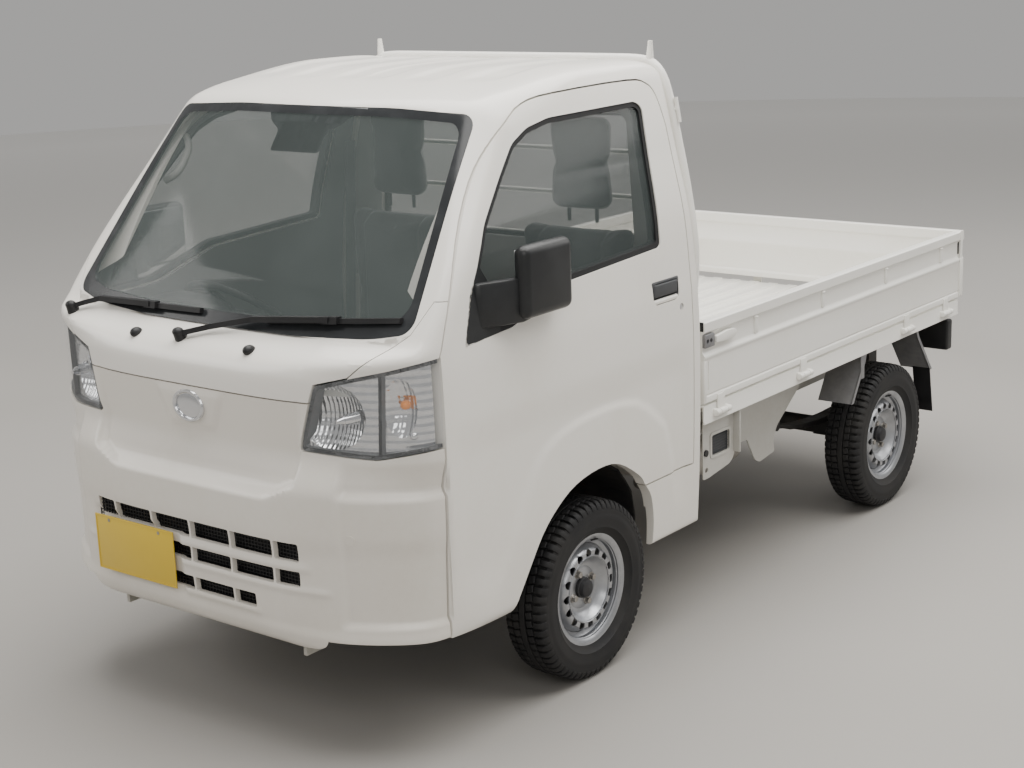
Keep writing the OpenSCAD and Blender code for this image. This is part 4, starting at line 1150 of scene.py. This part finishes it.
panel = prism(gate_section, "y", BED_FRONT + 2, SIDE_END - 2)
groove = [(BED_FRONT + 28, 735), (BED_FRONT + 31.5, 735), (BED_FRONT + 31.5, 826), (BED_FRONT + 28, 826)]
panel = cut(panel, prism(groove, "x", GATE_X - 6.5, GATE_X + 5))
ribs, straps = [], []
for y in (107, 557, 1032, 1496):
    ribs.append(block((GATE_X - 16, y - 9, 858), (GATE_X - 2, y + 9, 914), 6, 3))
    ribs.append(ball((GATE_X - 10, y, 912), 12, (0.9, 1, 0.5)))
for y in HINGES:
    straps.append(block((GATE_X - 3, y - 20, 652), (GATE_X + 2.5, y + 20, 712), 2, 2))
    straps.append(barrel((HINGE_X, y - 19, HINGE_Z), (HINGE_X, y + 19, HINGE_Z)))
edge = block((GATE_BACK + 1, BED_FRONT + 1, GATE_LOW + 4), (GATE_X - 1, BED_FRONT + 15, 832), 3, 2)
catch = block((GATE_X - 12, BED_FRONT + 4, 872), (GATE_X + 3, BED_FRONT + 58, 914), 3, 2)
for hole in (BED_FRONT + 16, BED_FRONT + 36):
    catch = cut(catch, rod((GATE_X - 20, hole, 893), (GATE_X + 20, hole, 893), 7))
paddle = [(0, -13), (70, -17), (112, -12), (122, 0), (112, 12), (70, 15), (0, 9)]
lever = prism([(BED_FRONT + 62 + a, 894 + b) for a, b in paddle], "x", GATE_X - 4, GATE_X + 8, 4, 2)
gate_parts = [
    ("gate_panel", join(panel, edge, *ribs, *straps),
        BED_PAINT, {"smooth": 28, "replaces": "side_gate_", "slot": "body_paint"}),
    ("gate_catch", catch, RAW, {}),
    ("gate_lever", lever, BED_PAINT, {}),
    ("gate_stop", block((GATE_X - 26, BED_FRONT - 1, 925), (GATE_X - 4, BED_FRONT + 4, 954), 2),
        SEAL, {}),
    ("gate_tail_stop", block((GATE_X - 24, SIDE_END - 4, 866), (GATE_X - 6, SIDE_END + 2, 914), 2),
        SEAL, {}),
]
make_pairs(gate_parts, "_gate")

side_leaves, rear_leaves = [], []
for y in HINGES:
    for a, b in ((-42, -20.5), (20.5, 42)):
        side_leaves.append(barrel((HINGE_X, y + a, HINGE_Z), (HINGE_X, y + b, HINGE_Z)))
        side_leaves.append(block((726, y + a + 2, 645), (737, y + b - 2, 668), 2, 2))
for x in REAR_HINGES:
    for a, b in ((-40, -20.5), (20.5, 40)):
        rear_leaves.append(barrel((x + a, REAR_HINGE_Y, HINGE_Z), (x + b, REAR_HINGE_Y, HINGE_Z), 6))
        rear_leaves.append(block((x + a + 2, TAIL - 44, 647), (x + b - 2, TAIL - 7, 665), 2, 2))
make("hinge_leaves", join(both(join(*side_leaves)), *rear_leaves), BED_PAINT, replaces=("gate_hinges",),
    slot="body_paint")

tail_section = [(TAIL - 7 - (GATE_X - x), z) for x, z in gate_section]
rear_panel = prism(tail_section, "x", -GATE_X + 2, GATE_X - 2)
rear_ribs = [block((x - 9, TAIL - 23, 858), (x + 9, TAIL - 9, 914), 6, 3)
    for x in (-600, -300, 0, 300, 600)]
rear_straps = []
for x in REAR_HINGES:
    rear_straps.append(block((x - 19, TAIL - 9, 654), (x + 19, TAIL - 3.5, 712), 2, 2))
    rear_straps.append(barrel((x - 19, REAR_HINGE_Y, HINGE_Z), (x + 19, REAR_HINGE_Y, HINGE_Z), 6))
corners = block((GATE_X - 22, TAIL - 36, GATE_LOW + 2), (GATE_X, TAIL - 8, 848), 4, 3)
post = block((GATE_X - 14, TAIL - 34, 846), (GATE_X - 3, TAIL - 22, 921), 3, 2)
make("tailgate_panel", join(rear_panel, *rear_ribs, *rear_straps, both(corners), both(post)), BED_PAINT,
    "rear_gate", smooth=28, replaces=("tailgate",), slot="body_paint")
levers = block((GATE_X - 60, TAIL - 16, 872), (GATE_X - 16, TAIL - 4, 908), 5, 3)
make("tailgate_levers", both(levers), BED_PAINT, "rear_gate")
front_board = block((-690, BED_FRONT + 6, 662), (690, BED_FRONT + 18, 948), 2)
board_ribs = [block((-684, BED_FRONT + 1, z - 14), (684, BED_FRONT + 12, z + 14), 5, 3)
    for z in (730, 850)]
board_top = block((-690, BED_FRONT, 928), (690, BED_FRONT + 20, GATE_TOP), 5, 3)
make("front_board", join(front_board, board_top, *board_ribs), BED_PAINT, replaces=("headboard",),
    slot="body_paint")

# guard frame with rope hooks; its hoop is drawn from the front (x, z)
HOOP = [(668, 690), (676, 930), (699, 1130), (692, 1240), (667, 1390), (638, 1520), (612, 1640),
    (588, 1706), (556, 1738), (512, 1749), (400, 1750)]
hoop_y = BED_FRONT + 3
hoop_path = [(x, hoop_y, z) for x, z in HOOP] + [(0, hoop_y, 1750)]
hoop_path += [(-x, hoop_y, z) for x, z in reversed(HOOP)]
rails = []
for z, x in ((1187, 692), (1327, 676), (1467, 646)):
    rails.append(rod((-x, hoop_y, z), (x, hoop_y, z), 8))
guard_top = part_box("guard_frame")[1][2] / MM
hooks = [rod((612, hoop_y, 1604), (644, hoop_y, 1602), 6),
    rod((636, hoop_y, 1638), (650, hoop_y, 1564), 6.5, 5.5),
    rod((545, hoop_y, 1745), (548, hoop_y, guard_top - 1), 13, 7)]
feet = block((648, BED_FRONT - 6, 940), (690, BED_FRONT + 18, 958), 3)
make("guard_hoop", join(pipe(hoop_path, 16, 6), *rails, both(join(*hooks, feet))), BED_PAINT, smooth=40,
    replaces=("guard_frame",), slot="body_paint")

# underneath: panels beside the frame, splash plates, flaps and rear lamp boxes
side_plate = [(-181, 622), (11, 622), (11, 483), (-2, 462), (-24, 450), (-150, 434), (-181, 434)]
window_hole = [(-131, 503), (-24, 501), (-24, 568), (-131, 570)]
plate_shape = cut(prism(side_plate, "x", 697, 701, 8), prism(window_hole, "x", 680, 720, 8),
    rod((680, -160, 462), (720, -160, 462), 9))
rim_edge = cut(prism(grow(window_hole, 9), "x", 699, 704, 12), prism(window_hole, "x", 680, 720, 8))
flange = block((697, 4, 484), (725, 11, 622), 2)
make("side_plates", both(join(plate_shape, rim_edge, flange)), FRAME_PAINT, smooth=30,
    replaces=("side_brackets",))
backing = block((690, -138, 496), (692, -18, 576))
ribs = [block((688, -138, z), (694, -18, z + 3)) for z in range(500, 574, 9)]
make("side_plate_grids", both(join(backing, *ribs)), GREY)
make("side_plugs", both(rod((698, -166, 520), (706, -166, 520), 11)), BLACK)
rail_plate = [(180, 540), (193, 424), (319, 425), (372, 340), (404, 322), (509, 336), (500, 380),
    (526, 425), (687, 534), (687, 610), (600, 610), (560, 560), (330, 560), (300, 600), (180, 610)]
make("outrigger_plate", prism(rail_plate, "x", 560, 565, 10), FRAME_PAINT, smooth=30)


def slanted(stations, low, high, thick=4):
    """A bent plate that follows (y, z) stations, as wide as low to high in x."""
    back = [(y + thick, z) for y, z in reversed(stations)]
    return prism(list(stations) + back, "x", low, high)


ahead = [(REAR_AXLE - 222, 629), (REAR_AXLE - 230, 600), (REAR_AXLE - 318, 462)]
behind = [(REAR_AXLE + 196, 629), (REAR_AXLE + 212, 600), (REAR_AXLE + 328, 452)]
splash = join(slanted(ahead, 588, 722), slanted(behind, 600, 722),
    block((718, REAR_AXLE - 250, 540), (724, REAR_AXLE - 224, 629), 2), slanted(ahead, 716, 723, 16),
    slanted(behind, 716, 723, 16))
make("splash_plates", both(splash), RAW, smooth=30, replaces=("mudguards",))
flap = slanted([(REAR_AXLE + 322, 462), (REAR_AXLE + 356, 280)], 652, 722, 5)
make("mud_flaps", both(flap), BLACK, replaces=("mudguards",), slot="black_plastic")
lamp_box = block((566, TAIL - 105, 492), (716, TAIL - 60, 612), 8, 3)
make("lamp_boxes", both(lamp_box), BLACK)
for name, low, high, material in (("tail_red", 570, 640, RED_LENS), ("tail_amber", 642, 676, AMBER),
    ("tail_white", 678, 712, CLEAR_LENS)):
    face = block((low, TAIL - 66, 500), (high, TAIL - 46, 604), 6, 3)
    stands_for = ("tail_lamps",) if name == "tail_red" else ()
    make(name, both(face), material, replaces=stands_for, slot="tail_lens")

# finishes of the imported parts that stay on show
SHOWN = {
    "frame_rails": FRAME_PAINT,
    "crossmembers": FRAME_PAINT,
    "bed_beams": FRAME_PAINT,
    "bed_sills": FRAME_PAINT,
    "cab_floor": FRAME_PAINT,
    "firewall": FRAME_PAINT,
    "engine_cover": FRAME_PAINT,
    # the wheel housings take the black underbody paint, partly their real finish and partly painted shade
    # for the dark inside of the arches
    "wheel_housings": CHASSIS,
    "front_suspension": CHASSIS,
    "knuckle_left": CHASSIS,
    "knuckle_right": CHASSIS,
    "rear_axle": CHASSIS,
    "leaf_springs": CHASSIS,
    "engine_block": RAW,
    "fuel_tank": BLACK,
    "silencer": EXHAUST,
}
for node, material in SHOWN.items():
    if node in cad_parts:
        mesh = bpy.data.objects[node].data
        mesh.materials.clear()
        mesh.materials.append(material)


# ---------------------------------------------------------------- studio and camera
def studio_floor():
    g = Graph("studio_floor", Specular_IOR_Level=0.3)
    cloud = g.noise(0.6, 3)
    x, y = g.axis("X"), g.axis("Y")
    # the floor is painted lighter with distance from the truck, a painted brightening that makes up for
    # the lamps' falloff far away
    far = g.ramp((x * x + y * y) ** 0.5, 3.5, 15)
    near = g.mix(cloud, (0.320, 0.305, 0.285), (0.355, 0.34, 0.32))
    g.set("Base Color", g.mix(far, near, (0.86, 0.85, 0.83)))
    g.set("Roughness", 0.5 + cloud * 0.15)
    return g.material


bm = bmesh.new()
bmesh.ops.create_circle(bm, cap_ends=True, segments=128, radius=17)
mesh = bpy.data.meshes.new("studio")
bm.to_mesh(mesh)
bm.free()
mesh.shade_smooth()
mesh.materials.append(studio_floor())
studio = bpy.data.objects.new("studio", mesh)
bpy.context.scene.collection.objects.link(studio)

world = bpy.data.worlds.new("studio_air")
world.use_nodes = True
world.node_tree.nodes["Background"].inputs["Color"].default_value = (1.0, 0.985, 0.96, 1)
world.node_tree.nodes["Background"].inputs["Strength"].default_value = 0.42
bpy.context.scene.world = world


WARM = (1.0, 0.985, 0.955)


def soft_light(name, place, aim, size, power):
    """A large soft panel of light."""
    light = bpy.data.lights.new(name, "AREA")
    light.shape = "RECTANGLE"
    light.size, light.size_y = size
    light.energy = power
    light.color = WARM
    holder = bpy.data.objects.new(name, light)
    way = Vector(aim) - Vector(place)
    holder.matrix_world = Matrix.Translation(place) @ way.to_track_quat("-Z", "Y").to_matrix().to_4x4()
    bpy.context.scene.collection.objects.link(holder)


soft_light("overhead", (0.5, 0.5, 5.5), (0, 0, 0.5), (7, 7), 800)
soft_light("front_left", (4.5, -5.5, 4.2), (0, -0.5, 0.8), (4, 3), 95)
soft_light("front_right", (-5.0, -4.5, 3.6), (0, -0.5, 0.8), (4, 3), 110)
soft_light("rear_fill", (3.5, 6.0, 4.0), (0, 0.5, 0.8), (5, 3), 110)

camera = bpy.data.cameras.new("camera")
camera.lens = 61.72
camera.sensor_width = 36
camera.shift_x = 0.0073
camera.shift_y = 0.0039
viewer = bpy.data.objects.new("camera", camera)
heading, tilt, roll = [math.radians(angle) for angle in (38.648, 75.629, -2.157)]
aim = Matrix.Rotation(heading, 4, "Z") @ Matrix.Rotation(tilt, 4, "X")
place = Matrix.Translation((3.5309, -4.7085, 2.1196))
viewer.matrix_world = place @ aim @ Matrix.Rotation(roll, 4, "Z")
bpy.context.scene.collection.objects.link(viewer)
bpy.context.scene.camera = viewer
